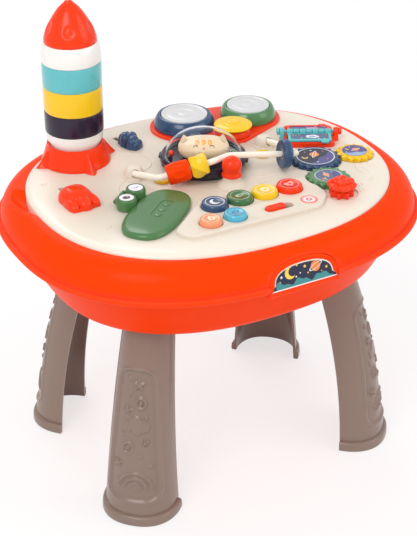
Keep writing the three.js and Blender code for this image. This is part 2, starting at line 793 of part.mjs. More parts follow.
function lensHole({ x, y }) {
  return moved(disc(lens.stem + seatGap, ceiling - overrun, topHeight + overrun), x, y);
}

// The slot that a sliding toy runs in: from behind its stem to the end of its travel.
function slideHole(toy) {
  const length = toy.travel + toy.stem + 2 * runGap;
  const shape = rounded(rectangle(slideSlot.width, length), slideSlot.corner);
  const hole = slab(shape, ceiling - overrun, topHeight + overrun);
  return moved(hole.translate(0, toy.stemAlong + toy.travel / 2, 0), toy.x, toy.y, 0, toy.turn);
}

// Frog well

const wellFloor = topHeight - well.depth;

// A level outline of the frog, drawn in by a margin.
const frogRing = (margin, z) => oblong(frog, margin, z, lidSides);

function wellSolid() {
  const foot = frogRing(well.inset, wellFloor - well.wall);
  return atFrog(skin([foot, frogRing(well.inset - well.wall, ceiling + seatGap)]));
}

function wellHollow() {
  const margin = well.inset + well.wall;
  const foot = frogRing(margin + well.wall, wellFloor);
  const mouth = frogRing(margin, topHeight + overrun);
  return atFrog(skin([foot, frogRing(margin, wellFloor + well.wall), mouth]));
}

const atFrog = (geometry) => moved(geometry, frog.x, frog.y, 0, frog.turn);
const eyesMiddle = (eyes.along[0] + eyes.along[1]) / 2;
const barrelOff = (frogHinge.lug + frogHinge.barrel) / 2 + seatGap;
const frogAxis = { x: eyesMiddle, y: frogHinge.off, z: topHeight + seatGap + frogHinge.lift };

// A bar along the frog's hinge axis.
function hingeBar(radius, length, shift = 0) {
  const bar = new THREE.CylinderGeometry(radius, radius, length, frogHinge.sides).rotateZ(corner);
  return bar.translate(frogAxis.x + shift, frogAxis.y, frogAxis.z);
}

function frogLug() {
  const radius = frogHinge.radius + seatGap;
  const low = topHeight - overrun;
  const foot = block(frogHinge.lug, 2 * radius, low, frogAxis.z).translate(frogAxis.x, frogAxis.y, 0);
  const bore = hingeBar(frogHinge.pin + seatGap, frogHinge.lug + overrun);
  return atFrog(cut(join(hingeBar(radius, frogHinge.lug), foot), bore));
}

function lidGeometry() {
  const low = topHeight + seatGap;
  const high = low + lid.height;
  const outside = [
    frogRing(lid.ease, low), frogRing(0, low + lid.ease), frogRing(0, high - lid.round),
    frogRing(lid.round * roundIn, high - lid.round * roundIn), frogRing(lid.round, high),
  ];
  const inside = [frogRing(lid.round, high - lid.wall), frogRing(lid.wall, low)];
  const shell = skin([...inside, ...outside]);
  const room = disc(eyes.radius + seatGap, low - overrun, high + overrun);
  return cut(shell, ...eyes.along.map((x) => moved(room, x, eyes.off)));
}

function eyesGeometry() {
  const low = topHeight + eyes.lift;
  const high = topHeight + eyes.height;
  const profile = eyeShares.map(([r, h]) => [r * eyes.radius, low + h * (high - low)]);
  const knobs = eyes.along.map((x) => turned([[0, low], ...profile], eyeSides).translate(x, eyes.off, 0));
  const link = block(eyes.along[1] - eyes.along[0], eyes.radius, low, frogAxis.z);
  const barrels = [-1, 1].map((side) => hingeBar(frogHinge.radius, frogHinge.barrel, side * barrelOff));
  const pin = hingeBar(frogHinge.pin, frogHinge.lug + frogHinge.barrel);
  return join(...knobs, moved(link, eyesMiddle, eyes.off), ...barrels, pin, ...eyeArms());
}

// Short arms from the eyes back to the hinge barrels.
function eyeArms() {
  const arm = block(frogHinge.barrel, frogAxis.y - eyes.off, topHeight + eyes.lift, frogAxis.z);
  return [-1, 1].map((side) => moved(arm, eyesMiddle + side * barrelOff, (frogAxis.y + eyes.off) / 2));
}

// Gears

function placeFrom(driver, driven) {
  const distance = (gearModule * (driver.teeth + driven.teeth)) / 2 + gear.mesh;
  driven.x = driver.x + distance * Math.cos(driven.bearing);
  driven.y = driver.y + distance * Math.sin(driven.bearing);
  const atContact = driver.teeth * driven.bearing + driver.phase;
  driven.phase = Math.PI - atContact - driven.teeth * (driven.bearing + Math.PI);
}

placeFrom(blueGear, yellowGear);
placeFrom(blueGear, greenGear);
placeFrom(greenGear, redGear);

const gears = [blueGear, yellowGear, greenGear, redGear];
const pitchRadius = ({ teeth }) => (gearModule * teeth) / 2;
const pocketRadius = (wheel) => pitchRadius(wheel) + gear.lobe - gear.slack + gearPocket.gap;
const gearFloor = topHeight - gearPocket.drop;
const gearLow = gearFloor + seatGap;
const gearHigh = gearLow + gear.height;

// A wave round a circle: the gears' rounded lobes and the flower's petals.
function wavy(radius, depth, waves, phase, steps) {
  return Array.from({ length: waves * steps }, (_, i) => {
    const angle = (i / (waves * steps)) * 2 * Math.PI;
    const r = radius + depth * Math.cos(waves * angle + phase);
    return new THREE.Vector2(r * Math.cos(angle), r * Math.sin(angle));
  });
}

function gearSlab(wheel) {
  const radius = pitchRadius(wheel) - gear.slack;
  const outline = wavy(radius, gear.lobe, wheel.teeth, wheel.phase, gear.lobeSteps);
  return slab(new THREE.Shape(outline), gearLow, gearHigh);
}

const gearBody = (wheel) => cut(gearSlab(wheel), hubBore());

function hubBore() {
  return disc(gear.hub + runGap, gearLow - overrun, gearFloor + gear.hubHeight + seatGap, smallSides);
}

// The knob: a small gear below, a flower that overlaps its driver above.
function knobGeometry() {
  const low = gearFloor + flower.lift;
  const rings = flowerShares.map(([r, h]) => {
    const outline = wavy(r * flower.radius, r * flower.depth, flower.petals, 0, flower.steps);
    return outline.map((p) => new THREE.Vector3(p.x, p.y, low + h * flower.height));
  });
  const neck = disc(flower.radius / 2, gearHigh - overrun, low + overrun, smallSides);
  return cut(join(gearSlab(redGear), neck, skin(rings)), hubBore());
}

function gearPocketTool() {
  const high = plateauTop + overrun;
  const rooms = gears.map((wheel) => pocketDisc(wheel, pocketRadius(wheel), gearFloor, high));
  return join(...rooms, pocketDisc(redGear, flower.pocket, gearFloor, high));
}

const pocketDisc = ({ x, y }, radius, low, high) => moved(disc(radius, low, high), x, y);

function pocketBackings() {
  const low = gearFloor - gearPocket.wall;
  return gears.map((wheel) => {
    const radius = wheel === redGear ? flower.pocket : pocketRadius(wheel);
    return pocketDisc(wheel, radius + gearPocket.wall, low, topHeight - overrun);
  });
}

function gearHubs() {
  const hub = disc(gear.hub, gearFloor - overrun, gearFloor + gear.hubHeight, smallSides);
  return gears.map(({ x, y }) => moved(hub, x, y));
}

// Under the panel: board, tray, battery bay, speaker

const catchLow = plateauTop - panel.wall - seatGap - button.catchThick;
const boardTop = catchLow - button.travel - seatGap - board.domeHeight;
const boardLow = boardTop - board.thick;

function boardPillars() {
  const pillar = disc(board.bossRadius, boardTop + seatGap, plateauTop - panel.wall + seatGap, pillarSides);
  return boardPosts.map(({ x, y }) => moved(pillar, x, y));
}

function boardGeometry() {
  const plateShape = slab(rounded(boardPoints, board.corner), boardLow, boardTop, cornerSteps - 1);
  const dome = disc(board.domeRadius, boardTop - seatGap, boardTop + board.domeHeight, pillarSides);
  return join(plateShape, ...buttons.map(({ x, y }) => moved(dome, x, y)));
}

const trayTop = gearFloor - gearPocket.wall - seatGap;
const trayFloor = baseBottom + base.floor;
const bayTop = baseBottom + bay.doorThick + seatGap + 2 * cell.radius + 2 * seatGap;

function trayGeometry() {
  const outline = (margin, z) => oblong(panelOutline, base.inset + margin, z);
  const outside = [outline(0, baseBottom), outline(0, trayTop)];
  const shell = skin([...outside, outline(base.wall, trayTop), outline(base.wall, trayFloor)]);
  const grow = 2 * bay.wall;
  const box = block(bay.length + grow, bay.width + grow, trayFloor - overrun, bayTop + bay.wall);
  const post = disc(base.postRadius, trayFloor - overrun, ceiling - seatGap, pillarSides);
  const posts = basePosts.map(({ x, y }) => moved(post, x, y));
  const room = block(bay.length, bay.width, baseBottom - overrun, bayTop);
  const step = bay.lip + seatGap;
  const mouthTop = baseBottom + bay.doorThick;
  const mouth = block(bay.length + 2 * step, bay.width + 2 * step, baseBottom - overrun, mouthTop);
  const whole = join(shell, moved(box, bay.x, bay.y), ...posts);
  return cut(whole, moved(room, bay.x, bay.y), moved(mouth, bay.x, bay.y), ...speakerSlots());
}

function speakerSlots() {
  return Array.from({ length: speaker.slots }, (_, i) => {
    const offset = (i - (speaker.slots - 1) / 2) * speaker.slotPitch;
    const length = 2 * Math.sqrt((speaker.radius - speaker.flange) ** 2 - offset ** 2) - speaker.slotWidth;
    const slot = block(length, speaker.slotWidth, baseBottom - overrun, trayFloor + overrun);
    return slot.translate(speakerX, speakerY + offset, 0);
  });
}

function doorGeometry() {
  const low = baseBottom;
  return block(bay.length + 2 * bay.lip, bay.width + 2 * bay.lip, low, low + bay.doorThick - seatGap);
}

function cellGeometry() {
  const half = cell.length / 2;
  const tip = half + cell.capLength;
  const { radius, capRadius } = cell;
  const profile = [
    [0, -half], [radius, -half], [radius, half], [capRadius, half], [capRadius, tip], [0, tip],
  ];
  return turned(profile, smallSides).rotateY(corner);
}

function speakerGeometry() {
  const { radius, magnet, height, flange } = speaker;
  const profile = [
    [0, 0], [radius, 0], [radius, flange], [magnet, height * magnetShare], [magnet, height], [0, height],
  ];
  return turned(profile).translate(0, 0, trayFloor + seatGap);
}

// Rocket

const onTop = topHeight + seatGap;

function rocketBaseGeometry() {
  const outer = coneShares.map(([r, h]) => [r * rocket.radius, h * rocket.coneTop]);
  const dish = rocket.coneTop - rocket.dish;
  const bulk = turned([[0, 0], ...outer, [0, rocket.coneTop]]);
  const fins = [0, 1, 2, 3].map((i) => finGeometry().rotateZ(i * corner));
  const ceilingHeight = dish - rocket.wall;
  const foot = outer[0][0] - rocket.wall;
  const top = rocket.dishRadius - rocket.wall;
  const room = [[0, -overrun], [foot, -overrun], [foot, 0], [top, ceilingHeight], [0, ceilingHeight]];
  return cut(join(bulk, ...fins), turned(room), disc(rocket.dishRadius, dish, rocket.coneTop + overrun));
}

function finGeometry() {
  const level = (z, reach, halfLength, halfWidth) =>
    oblong({ halfLength, halfWidth, squareness: 2 }, 0, z, fin.sides).map((p) => p.setX(p.x + reach));
  const foot = level(0, fin.reach, fin.length, fin.width);
  return skin([foot, level(fin.height, fin.tipReach, fin.tipLength, fin.tipWidth)]);
}

// A hollow stacking piece: an outer profile in shares, open below, with or without a spigot on top.
function stackGeometry(shares, height, spigot) {
  const outer = shares.map(([r, h]) => [r * rocket.radius, h * height]);
  const stop = height - rocket.wall * stopShare;
  const inner = outer.filter(([, z]) => z < stop).map(([r, z]) => [r - rocket.wall, z]);
  const topRadius = outer[outer.length - 1][0];
  const neck = topRadius - rocket.wall - 2 * runGap;
  const top = spigot ? height + spigot : height;
  const inside = [[0, top - rocket.wall]];
  if (spigot) {
    inside.push([neck - rocket.wall, top - rocket.wall], [neck - rocket.wall, height - rocket.wall]);
    inside.push([topRadius - rocket.wall, height - rocket.wall]);
  }
  const shoulder = spigot ? [[neck, height], [neck, top]] : [];
  return turned([...inside, ...inner.reverse(), ...outer, ...shoulder, [0, top]]);
}

// Drums and cymbal

// The outline round a set of circles: the convex hull of their points.
function hull(circles) {
  const points = circles.flatMap(({ x, y, radius }) =>
    Array.from({ length: roundSides }, (_, i) => {
      const angle = (i / roundSides) * 2 * Math.PI;
      return new THREE.Vector2(x + radius * Math.cos(angle), y + radius * Math.sin(angle));
    }));
  points.sort((a, b) => a.x - b.x || a.y - b.y);
  const half = (list) => list.reduce((chain, p) => {
    while (chain.length > 1 && turnOf(chain.at(-2), chain.at(-1), p) <= 0) chain.pop();
    chain.push(p);
    return chain;
  }, []);
  const lower = half(points).slice(0, -1);
  const upper = half([...points].reverse()).slice(0, -1);
  return new THREE.Shape([...lower, ...upper]);
}

const turnOf = (a, b, c) => (b.x - a.x) * (c.y - a.y) - (b.y - a.y) * (c.x - a.x);
const plateTop = onTop + plate.thick;

function plateGeometry() {
  const circles = [
    { ...blueDrum, radius: blueDrum.radius + plate.margin },
    { ...greenDrum, radius: greenDrum.radius + plate.margin },
    { x: cymbal.x, y: cymbal.y, radius: cymbal.standRadius + plate.margin / 2 },
  ];
  return slab(hull(circles), onTop, plateTop);
}

function drumShell({ radius, pad }) {
  const bore = pad + drum.bore;
  const outer = drumShares.map(([r, h]) => [r * radius, h * drum.height]);
  return turned([[bore, 0], ...outer, [bore, drum.height], [bore, 0]]);
}

function drumPad({ pad }) {
  const { padThick, padRise, padRound: round } = drum;
  const low = drum.height - padThick;
  const high = drum.height + padRise;
  return turned([[0, low], [pad, low], [pad, high - round], [pad - round, high], [0, high]]);
}

function standGeometry() {
  const profile = standShares.map(([r, h]) => [r * cymbal.standRadius, h * cymbal.standHeight]);
  const { standHeight: top, postRadius: post, postHeight } = cymbal;
  return turned([[0, 0], ...profile, [post, top], [post, top + postHeight], [0, top + postHeight]]);
}

function cymbalGeometry() {
  const profile = cymbalShares.map(([r, h]) => [r * cymbal.radius, h * cymbal.height]);
  const bore = cymbal.postRadius + runGap;
  const depth = cymbal.postHeight + seatGap;
  return turned([[0, depth], [bore, depth], [bore, 0], ...profile, [0, cymbal.height]]);
}

// Saucer

function saucerGeometry() {
  const { radius, height, dish, postRadius, postHeight } = saucer;
  const seat = height - dome.seat;
  const outer = saucerShares.map(([r, h]) => [r * radius, h * height]);
  const bulk = turned([[0, 0], ...outer, [0, height]], saucerSides);
  const tabs = Array.from({ length: saucer.tabs }, (_, i) => {
    const lug = block(tab.length, tab.width, tab.low, tab.high);
    return lug.translate(saucer.reach - tab.length / 2, 0, 0).rotateZ((i / saucer.tabs) * 2 * Math.PI);
  });
  const room = disc(dome.radius - dome.wall - seatGap, dish, height + overrun);
  const step = disc(dome.radius + seatGap, seat, height + overrun);
  const bore = disc(postRadius + runGap, -overrun, postHeight + seatGap, smallSides);
  return cut(join(bulk, ...tabs), room, step, bore);
}

function domeGeometry() {
  const arc = (radius, height) => Array.from({ length: domeSteps + 1 }, (_, i) => {
    const angle = (i / domeSteps) * corner;
    return [radius * Math.cos(angle), height * Math.sin(angle)];
  });
  const outer = arc(dome.radius, dome.height);
  const inner = arc(dome.radius - dome.wall, dome.height - dome.wall).reverse();
  inner[0][0] = 0;
  outer[domeSteps][0] = 0;
  return turned([...inner, ...outer]);
}

function catGeometry() {
  const head = new THREE.SphereGeometry(1, beadSides, pillarSides);
  head.scale(cat.headWidth, cat.headDepth, cat.headHeight).translate(0, 0, cat.headLift);
  const body = disc(cat.bodyRadius, 0, cat.headLift, smallSides);
  const ears = [-1, 1].map((side) => {
    const horn = new THREE.ConeGeometry(ear.radius, ear.height, ear.sides).rotateX(corner);
    return horn.scale(1, ear.flat, 1).translate(side * ear.along, ear.lean, ear.lift + ear.height / 2);
  });
  return join(body, head, ...ears);
}

// Joystick, its pivot at the origin's height

function stickGeometry() {
  const { cap, capWall, capAngle, ball, ballLift, stem, tail } = stick;
  const shell = cap + capWall;
  const meet = (shell ** 2 - ball ** 2 + ballLift ** 2) / (2 * ballLift);
  const profile = [
    [0, -tail], [stem, -tail], ...arc(cap, 0, Math.asin(stem / cap), capAngle, capSteps),
    ...arc(shell, 0, capAngle, Math.acos(meet / shell), collarSteps),
    ...arc(ball, ballLift, Math.acos((meet - ballLift) / ball), 0, ballSteps).slice(1),
  ];
  const pin = new THREE.CylinderGeometry(gimbal.pin, gimbal.pin, 2 * gimbal.stemReach, pinSides);
  return join(turned(profile, knobSides), pin);
}

// Profile points on a circle about the axis, by angles from straight up.
function arc(radius, middle, from, to, steps) {
  return Array.from({ length: steps + 1 }, (_, i) => {
    const angle = THREE.MathUtils.lerp(from, to, i / steps);
    return [angle === 0 ? 0 : radius * Math.sin(angle), middle + radius * Math.cos(angle)];
  });
}

function gimbalGeometry() {
  const ring = washer(gimbal.inner, gimbal.outer, -gimbal.height / 2, gimbal.height / 2, beadSides);
  const { pin, pinReach, inner } = gimbal;
  const arm = new THREE.CylinderGeometry(pin, pin, pinReach - inner, pinSides).rotateZ(corner);
  const middle = (gimbal.pinReach + gimbal.inner) / 2 + seatGap;
  const arms = [-1, 1].map((side) => arm.clone().translate(side * middle, 0, 0));
  const bore = pin + seatGap;
  const hole = new THREE.CylinderGeometry(bore, bore, 2 * gimbal.outer + 2 * overrun, pinSides);
  return cut(join(ring, ...arms), hole);
}

// Bead rail

// Sockets in the posts for the rail's two ends.
function railSockets() {
  const ends = [railCorners.slice(0, 2), railCorners.slice(-2).reverse()];
  const length = 2 * rail.postRadius;
  const bore = rail.radius + seatGap;
  return ends.map(([end, next]) => {
    const along = next.clone().sub(end).normalize();
    const socket = new THREE.CylinderGeometry(bore, bore, length, 2 * rail.sides);
    socket.translate(0, length / 2 - seatGap, 0);
    socket.applyQuaternion(new THREE.Quaternion().setFromUnitVectors(new THREE.Vector3(0, 1, 0), along));
    return socket.translate(end.x, end.y, end.z);
  });
}

const railCorners = railPoints.map(({ x, y, rise }) => new THREE.Vector3(x, y, topHeight + rise));
const frontStretch = railCorners.slice(1, 3);
const sideStretch = railCorners.slice(3, 5);

function railPath() {
  const path = new THREE.CurvePath();
  let from = railCorners[0];
  railCorners.slice(1, -1).forEach((at, i) => {
    const before = railCorners[i];
    const after = railCorners[i + 2];
    const reach = Math.min(rail.bend, at.distanceTo(before) * bendShare, at.distanceTo(after) * bendShare);
    const start = before.clone().sub(at).setLength(reach).add(at);
    const end = after.clone().sub(at).setLength(reach).add(at);
    path.add(new THREE.LineCurve3(from, start));
    path.add(new THREE.QuadraticBezierCurve3(start, at, end));
    from = end;
  });
  path.add(new THREE.LineCurve3(from, railCorners[railCorners.length - 1]));
  return path;
}

function railGeometry() {
  const section = new THREE.Shape().absarc(0, 0, rail.radius, 0, 2 * Math.PI);
  const options = { steps: rail.steps, extrudePath: railPath(), curveSegments: rail.sides };
  return new THREE.ExtrudeGeometry(section, options);
}

// A bored bead along Z.
function beadFrom(shares, bead) {
  const bore = rail.radius + beadGap;
  const boreRing = (z) => Array.from({ length: bead.sides }, (_, i) => {
    const angle = (i / bead.sides) * 2 * Math.PI;
    return new THREE.Vector3(bore * Math.cos(angle), bore * Math.sin(angle), z);
  });
  return skin([...beadRows(shares, bead), boreRing(bead.length / 2), boreRing(-bead.length / 2)], true);
}

// Rows of a bead: radius shares along the length, waves round it, and a twist from end to end.
function beadRows(shares, bead) {
  return shares.map(([r, h]) => Array.from({ length: bead.sides }, (_, i) => {
    const angle = (i / bead.sides) * 2 * Math.PI;
    const out = r * bead.radius + bead.wave * Math.cos(bead.waves * (angle - bead.twist * h));
    return new THREE.Vector3(out * Math.cos(angle), out * Math.sin(angle), (h - 1 / 2) * bead.length);
  }));
}

// Threads a bead on the straight stretch of the rail between two of its corners.
function thread(name, geometry, material, { atShare }, [from, to]) {
  const mesh = piece(name, geometry, material);
  mesh.position.lerpVectors(from, to, atShare);
  mesh.quaternion.setFromUnitVectors(new THREE.Vector3(0, 0, 1), to.clone().sub(from).normalize());
}

// Flip book

const spineHeight = onTop + spine.lift;

function alongSpine(radius, length, x = 0, sides = pillarSides) {
  const bar = new THREE.CylinderGeometry(radius, radius, length, sides);
  return bar.rotateZ(corner).translate(x, spine.along, spineHeight);
}

function bookTray() {
  const outline = rectangle(book.length, book.width);
  const body = softSlab(rounded(outline, book.corner), onTop, onTop + book.height, book.round);
  const mouth = rounded(inset(outline, book.frame), book.corner - book.frame);
  const room = slab(mouth, onTop + book.floor, onTop + book.height + overrun);
  const earMiddle = book.length / 2 + spine.earLength / 2 - runGap;
  const ears = [-1, 1].map((side) => {
    const at = side * earMiddle;
    const foot = moved(block(spine.earLength, 2 * spine.ear, onTop, spineHeight), at, spine.along);
    return join(foot, alongSpine(spine.ear, spine.earLength, at, smallSides));
  });
  return cut(join(body, ...ears), room, alongSpine(spine.radius + seatGap, book.length * 2));
}

function bookRod() {
  const reach = book.length / 2 + spine.earLength;
  const headMiddle = reach + spine.headLength / 2;
  const head = (side) => alongSpine(spine.head, spine.headLength, side * headMiddle, smallSides);
  return join(alongSpine(spine.radius, 2 * reach + spine.headLength), head(-1), head(1));
}

// A page's outline, drawn in by a margin; it lies toward -Y of the spine.
function pageOutline(margin) {
  const x = page.length / 2 - margin;
  const far = margin - page.reach;
  const near = -page.root - margin / 2;
  return rounded([{ x: -x, y: far }, { x, y: far }, { x, y: near }, { x: -x, y: near }], page.frame / 2);
}

// A bar round a page's own hinge line.
function pageBar(radius, length, sides, x = 0) {
  return new THREE.CylinderGeometry(radius, radius, length, sides).rotateZ(corner).translate(x, 0, 0);
}

// A page with every second knuckle, from the first one named. It is level here, and is then tilted.
function bookPage(first, tabSide) {
  const own = [];
  for (let i = first; i < knuckle.count; i += 2) own.push((i - (knuckle.count - 1) / 2) * knuckle.pitch);
  const field = slab(pageOutline(page.frame), -page.sink, overrun);
  const leaf = cut(slab(pageOutline(0), -page.thick, 0), field);
  const tabX = page.length / 2 - page.tabLength / 2 - page.frame;
  const thumb = block(page.tabLength, page.tabReach * 2, -page.thick, 0);
  const rings = own.map((x) => pageBar(knuckle.radius, knuckle.length, pillarSides, x));
  const webWidth = page.root + overrun;
  const web = block(knuckle.length, webWidth, -page.thick, 0);
  const webs = own.map((x) => moved(web, x, -webWidth / 2));
  const bore = pageBar(spine.radius + seatGap, page.length + overrun, pinSides);
  return cut(join(leaf, moved(thumb, tabSide * tabX, -page.reach), ...rings, ...webs), bore);
}

function placePage(name, geometry, material, tilt) {
  const group = new THREE.Group();
  group.position.set(book.x, book.y, 0);
  group.rotation.z = book.turn;
  const mesh = new THREE.Mesh(geometry.rotateX(tilt), material);
  mesh.name = name;
  mesh.position.set(0, spine.along, spineHeight);
  group.add(mesh);
  table.add(group);
}

// Sliding toys

function sliderGeometry(toy, shares) {
  const { length, width, height, stem, stemAlong } = toy;
  const outline = shares.map(([along, up]) => new THREE.Vector2((along - 1 / 2) * length, up * height));
  const shape = new THREE.Shape(outline);
  const bevel = { bevelThickness: toyRound, bevelSize: toyRound, bevelOffset: -toyRound, bevelSegments: 2 };
  const body = new THREE.ExtrudeGeometry(shape, { depth: width - 2 * toyRound, ...bevel });
  body.translate(0, 0, toyRound - width / 2).rotateX(corner).rotateZ(corner);
  const low = topHeight - panel.wall - seatGap - slideSlot.flangeThick;
  const foot = low - onTop;
  const shaft = block(slideSlot.width - 2 * runGap, stem, foot + seatGap, overrun);
  const flange = block(slideSlot.width + slideSlot.flange, stem, foot, foot + slideSlot.flangeThick);
  return join(body, shaft.translate(0, stemAlong, 0), flange.translate(0, stemAlong, 0));
}

// Lenses, buttons and switch

function lensGeometry() {
  const { radius, rise, round, stem, stemDrop } = lens;
  const profile = [
    [0, -stemDrop], [stem, -stemDrop], [stem, 0], [radius, 0],
    [radius, rise - round], [radius - round, rise], [0, rise],
  ];
  return turned(profile, knobSides);
}

function buttonGeometry(radius) {
  const high = plateauTop + button.rise;
  const { round, catchThick } = button;
  const left = round * roundIn;
  const profile = [
    [0, catchLow], [radius, catchLow], [radius, high - round], [radius - left, high - left],
    [radius - round, high], [0, high],
  ];
  const catches = block(button.catchWidth, 2 * (radius + button.catch), catchLow, catchLow + catchThick);
  return join(turned(profile, buttonSides), catches);
}

function toggleGeometry() {
  const width = toggle.slotWidth - 2 * runGap;
  const low = plateauTop - panel.wall - seatGap;
  const shape = pill(toggle.knobLength, width);
  const knob = softSlab(shape, low - overrun, plateauTop + toggle.rise, toggle.round, toggle.steps);
  const reach = toggle.slotWidth + 2 * toggle.flange;
  const flange = block(toggle.knobLength, reach, low - toggle.flangeThick, low);
  return join(knob, flange);
}

// Assembly: the stand

piece("tub", tubGeometry(), orangeRed);
piece("rim_ring", rimGeometry(), orangeRed);
piece("front_bezel", bezelGeometry(), orangeRed);
for (const { name, side, end } of legPlaces) {
  piece(name, legGeometry(), taupe, side * leg.x, end * leg.y, 0, Math.atan2(end, side));
}

// Assembly: the panel and what closes it below

piece("panel", panelGeometry(), cream);
piece("panel_base", trayGeometry(), cream);
piece("battery_door", doorGeometry(), cream, bay.x, bay.y);
for (let i = 0; i < cell.count; i++) {
  const y = bay.y + (i - (cell.count - 1) / 2) * cell.pitch;
  const z = baseBottom + bay.doorThick + seatGap + cell.radius;
  piece(`battery_cell_${i + 1}`, cellGeometry(), steel, bay.x - cell.capLength / 2, y, z);
}
piece("speaker", speakerGeometry(), steel, speakerX, speakerY);
piece("circuit_board", boardGeometry(), boardGreen);
for (const { name, x, y } of lenses) {
  piece(name, lensGeometry(), yellow, x, y, onTop);
}

// Assembly: the rocket, each piece on the one below

piece("rocket_base", rocketBaseGeometry(), red, rocket.x, rocket.y, onTop);
let level = onTop + rocket.coneTop - rocket.dish + seatGap;
const stackPieces = [
  ["rocket_bottom_cup", cupLowShares, stackHeights.cupLow, white],
  ["ring_purple", ringShares, stackHeights.ringPurple, purple],
  ["ring_yellow", ringShares, stackHeights.ringYellow, yellow],
  ["ring_teal", ringShares, stackHeights.ringTeal, teal],
  ["rocket_top_cup", cupHighShares, stackHeights.cupHigh, white],
  ["nose_cone", noseShares, stackHeights.nose, red],
];
for (const [name, shares, height, material] of stackPieces) {
  const spigot = name === "nose_cone" ? 0 : rocket.spigot;
  piece(name, stackGeometry(shares, height, spigot), material, rocket.x, rocket.y, level);
  level += height + seatGap;
}

// Assembly: sliding toys, drums, cymbal

const placeSlider = (name, shares, toy, material) =>
  piece(name, sliderGeometry(toy, shares), material, toy.x, toy.y, onTop, toy.turn);
placeSlider("red_slider", redToyShares, redSlider, red);
placeSlider("blue_slider", blueToyShares, blueSlider, navy);
piece("drum_plate", plateGeometry(), red);
for (const [name, place, material] of [["drum_blue", blueDrum, navy], ["drum_green", greenDrum, green]]) {
  piece(`${name}_shell`, drumShell(place), material, place.x, place.y, plateTop + seatGap);
  piece(`${name}_pad`, drumPad(place), padWhite, place.x, place.y, plateTop + seatGap);
}
piece("cymbal_stand", standGeometry(), red, cymbal.x, cymbal.y, plateTop + seatGap);
piece("cymbal", cymbalGeometry(), yellow, cymbal.x, cymbal.y, plateTop + cymbal.standHeight + 2 * seatGap);

// Assembly: flip book, gears, rail and beads

piece("flip_tray", bookTray(), red, book.x, book.y, 0, book.turn);
piece("flip_rod", bookRod(), teal, book.x, book.y, 0, book.turn);
placePage("flip_page_teal", bookPage(0, 1), teal, page.sag);
placePage("flip_page_red", bookPage(1, -1).rotateZ(Math.PI), red, -page.sag);
piece("gear_blue", gearBody(blueGear), navy, blueGear.x, blueGear.y);
piece("gear_yellow", gearBody(yellowGear), yellow, yellowGear.x, yellowGear.y);
piece("gear_green", gearBody(greenGear), green, greenGear.x, greenGear.y);
piece("gear_knob_red", knobGeometry(), red, redGear.x, redGear.y);
piece("bead_rail", railGeometry(), cream);
thread("bead_orange", beadFrom(barrelShares, orangeBead), red, orangeBead, frontStretch);
thread("bead_yellow", beadFrom(twistShares, yellowBead), yellow, yellowBead, frontStretch);
thread("bead_blue", beadFrom(discShares, blueBead), navy, blueBead, sideStretch);

// Assembly: saucer, joystick, frog, buttons, switch

piece("saucer_ring", saucerGeometry(), purple, saucer.x, saucer.y, onTop);
const domeLow = onTop + saucer.height - dome.seat + seatGap;
piece("saucer_dome", domeGeometry(), clear, saucer.x, saucer.y, domeLow);
piece("cat_figure", catGeometry(), cream, saucer.x, saucer.y, onTop + saucer.dish + seatGap, cat.turn);
piece("joystick", stickGeometry(), red, cone.x, cone.y, pivotHeight);
piece("joystick_gimbal", gimbalGeometry(), cream, cone.x, cone.y, pivotHeight);
piece("frog_lid", lidGeometry(), green, frog.x, frog.y, 0, frog.turn);
piece("frog_eyes", eyesGeometry(), green, frog.x, frog.y, 0, frog.turn);
for (const { name, x, y, radius, color } of buttons) {
  piece(name, buttonGeometry(radius), paint(color, 0.3), x, y);
}
const toggleX = toggle.x - (toggle.slotLength - toggle.knobLength) / 2 + runGap;
piece("slide_switch", toggleGeometry(), red, toggleX, toggle.y);

export default table;
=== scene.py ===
from math import asin, atan2, copysign, cos, hypot, pi, radians, sin, sqrt

import bmesh
import bpy
from mathutils import Matrix, Vector


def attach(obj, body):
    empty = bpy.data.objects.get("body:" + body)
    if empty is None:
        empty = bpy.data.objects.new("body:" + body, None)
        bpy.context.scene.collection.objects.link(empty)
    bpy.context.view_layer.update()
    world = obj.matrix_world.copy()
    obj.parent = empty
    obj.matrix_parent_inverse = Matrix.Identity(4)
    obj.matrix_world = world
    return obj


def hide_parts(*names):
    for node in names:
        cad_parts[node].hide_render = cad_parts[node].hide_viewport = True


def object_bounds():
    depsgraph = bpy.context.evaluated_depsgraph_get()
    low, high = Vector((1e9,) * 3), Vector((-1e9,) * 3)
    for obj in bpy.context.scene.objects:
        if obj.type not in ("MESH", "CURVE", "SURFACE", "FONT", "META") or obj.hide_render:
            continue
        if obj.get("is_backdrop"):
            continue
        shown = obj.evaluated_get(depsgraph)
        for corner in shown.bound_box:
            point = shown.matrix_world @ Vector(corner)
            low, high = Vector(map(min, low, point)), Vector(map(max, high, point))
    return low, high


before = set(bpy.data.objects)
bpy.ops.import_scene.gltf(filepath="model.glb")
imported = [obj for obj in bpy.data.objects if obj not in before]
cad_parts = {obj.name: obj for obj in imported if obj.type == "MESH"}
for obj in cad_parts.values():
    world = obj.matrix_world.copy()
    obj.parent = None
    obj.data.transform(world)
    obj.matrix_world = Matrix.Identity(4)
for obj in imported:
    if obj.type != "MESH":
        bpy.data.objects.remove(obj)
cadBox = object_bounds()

mm = 0.001
print("frame loaded:", len(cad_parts), "nodes")


# Colours as written on a paint card, turned into light values.
def shade(code):
    parts = [int(code[i:i + 2], 16) / 255 for i in (0, 2, 4)]
    return [c / 12.92 if c <= 0.04045 else ((c + 0.055) / 1.055) ** 2.4 for c in parts] + [1.0]


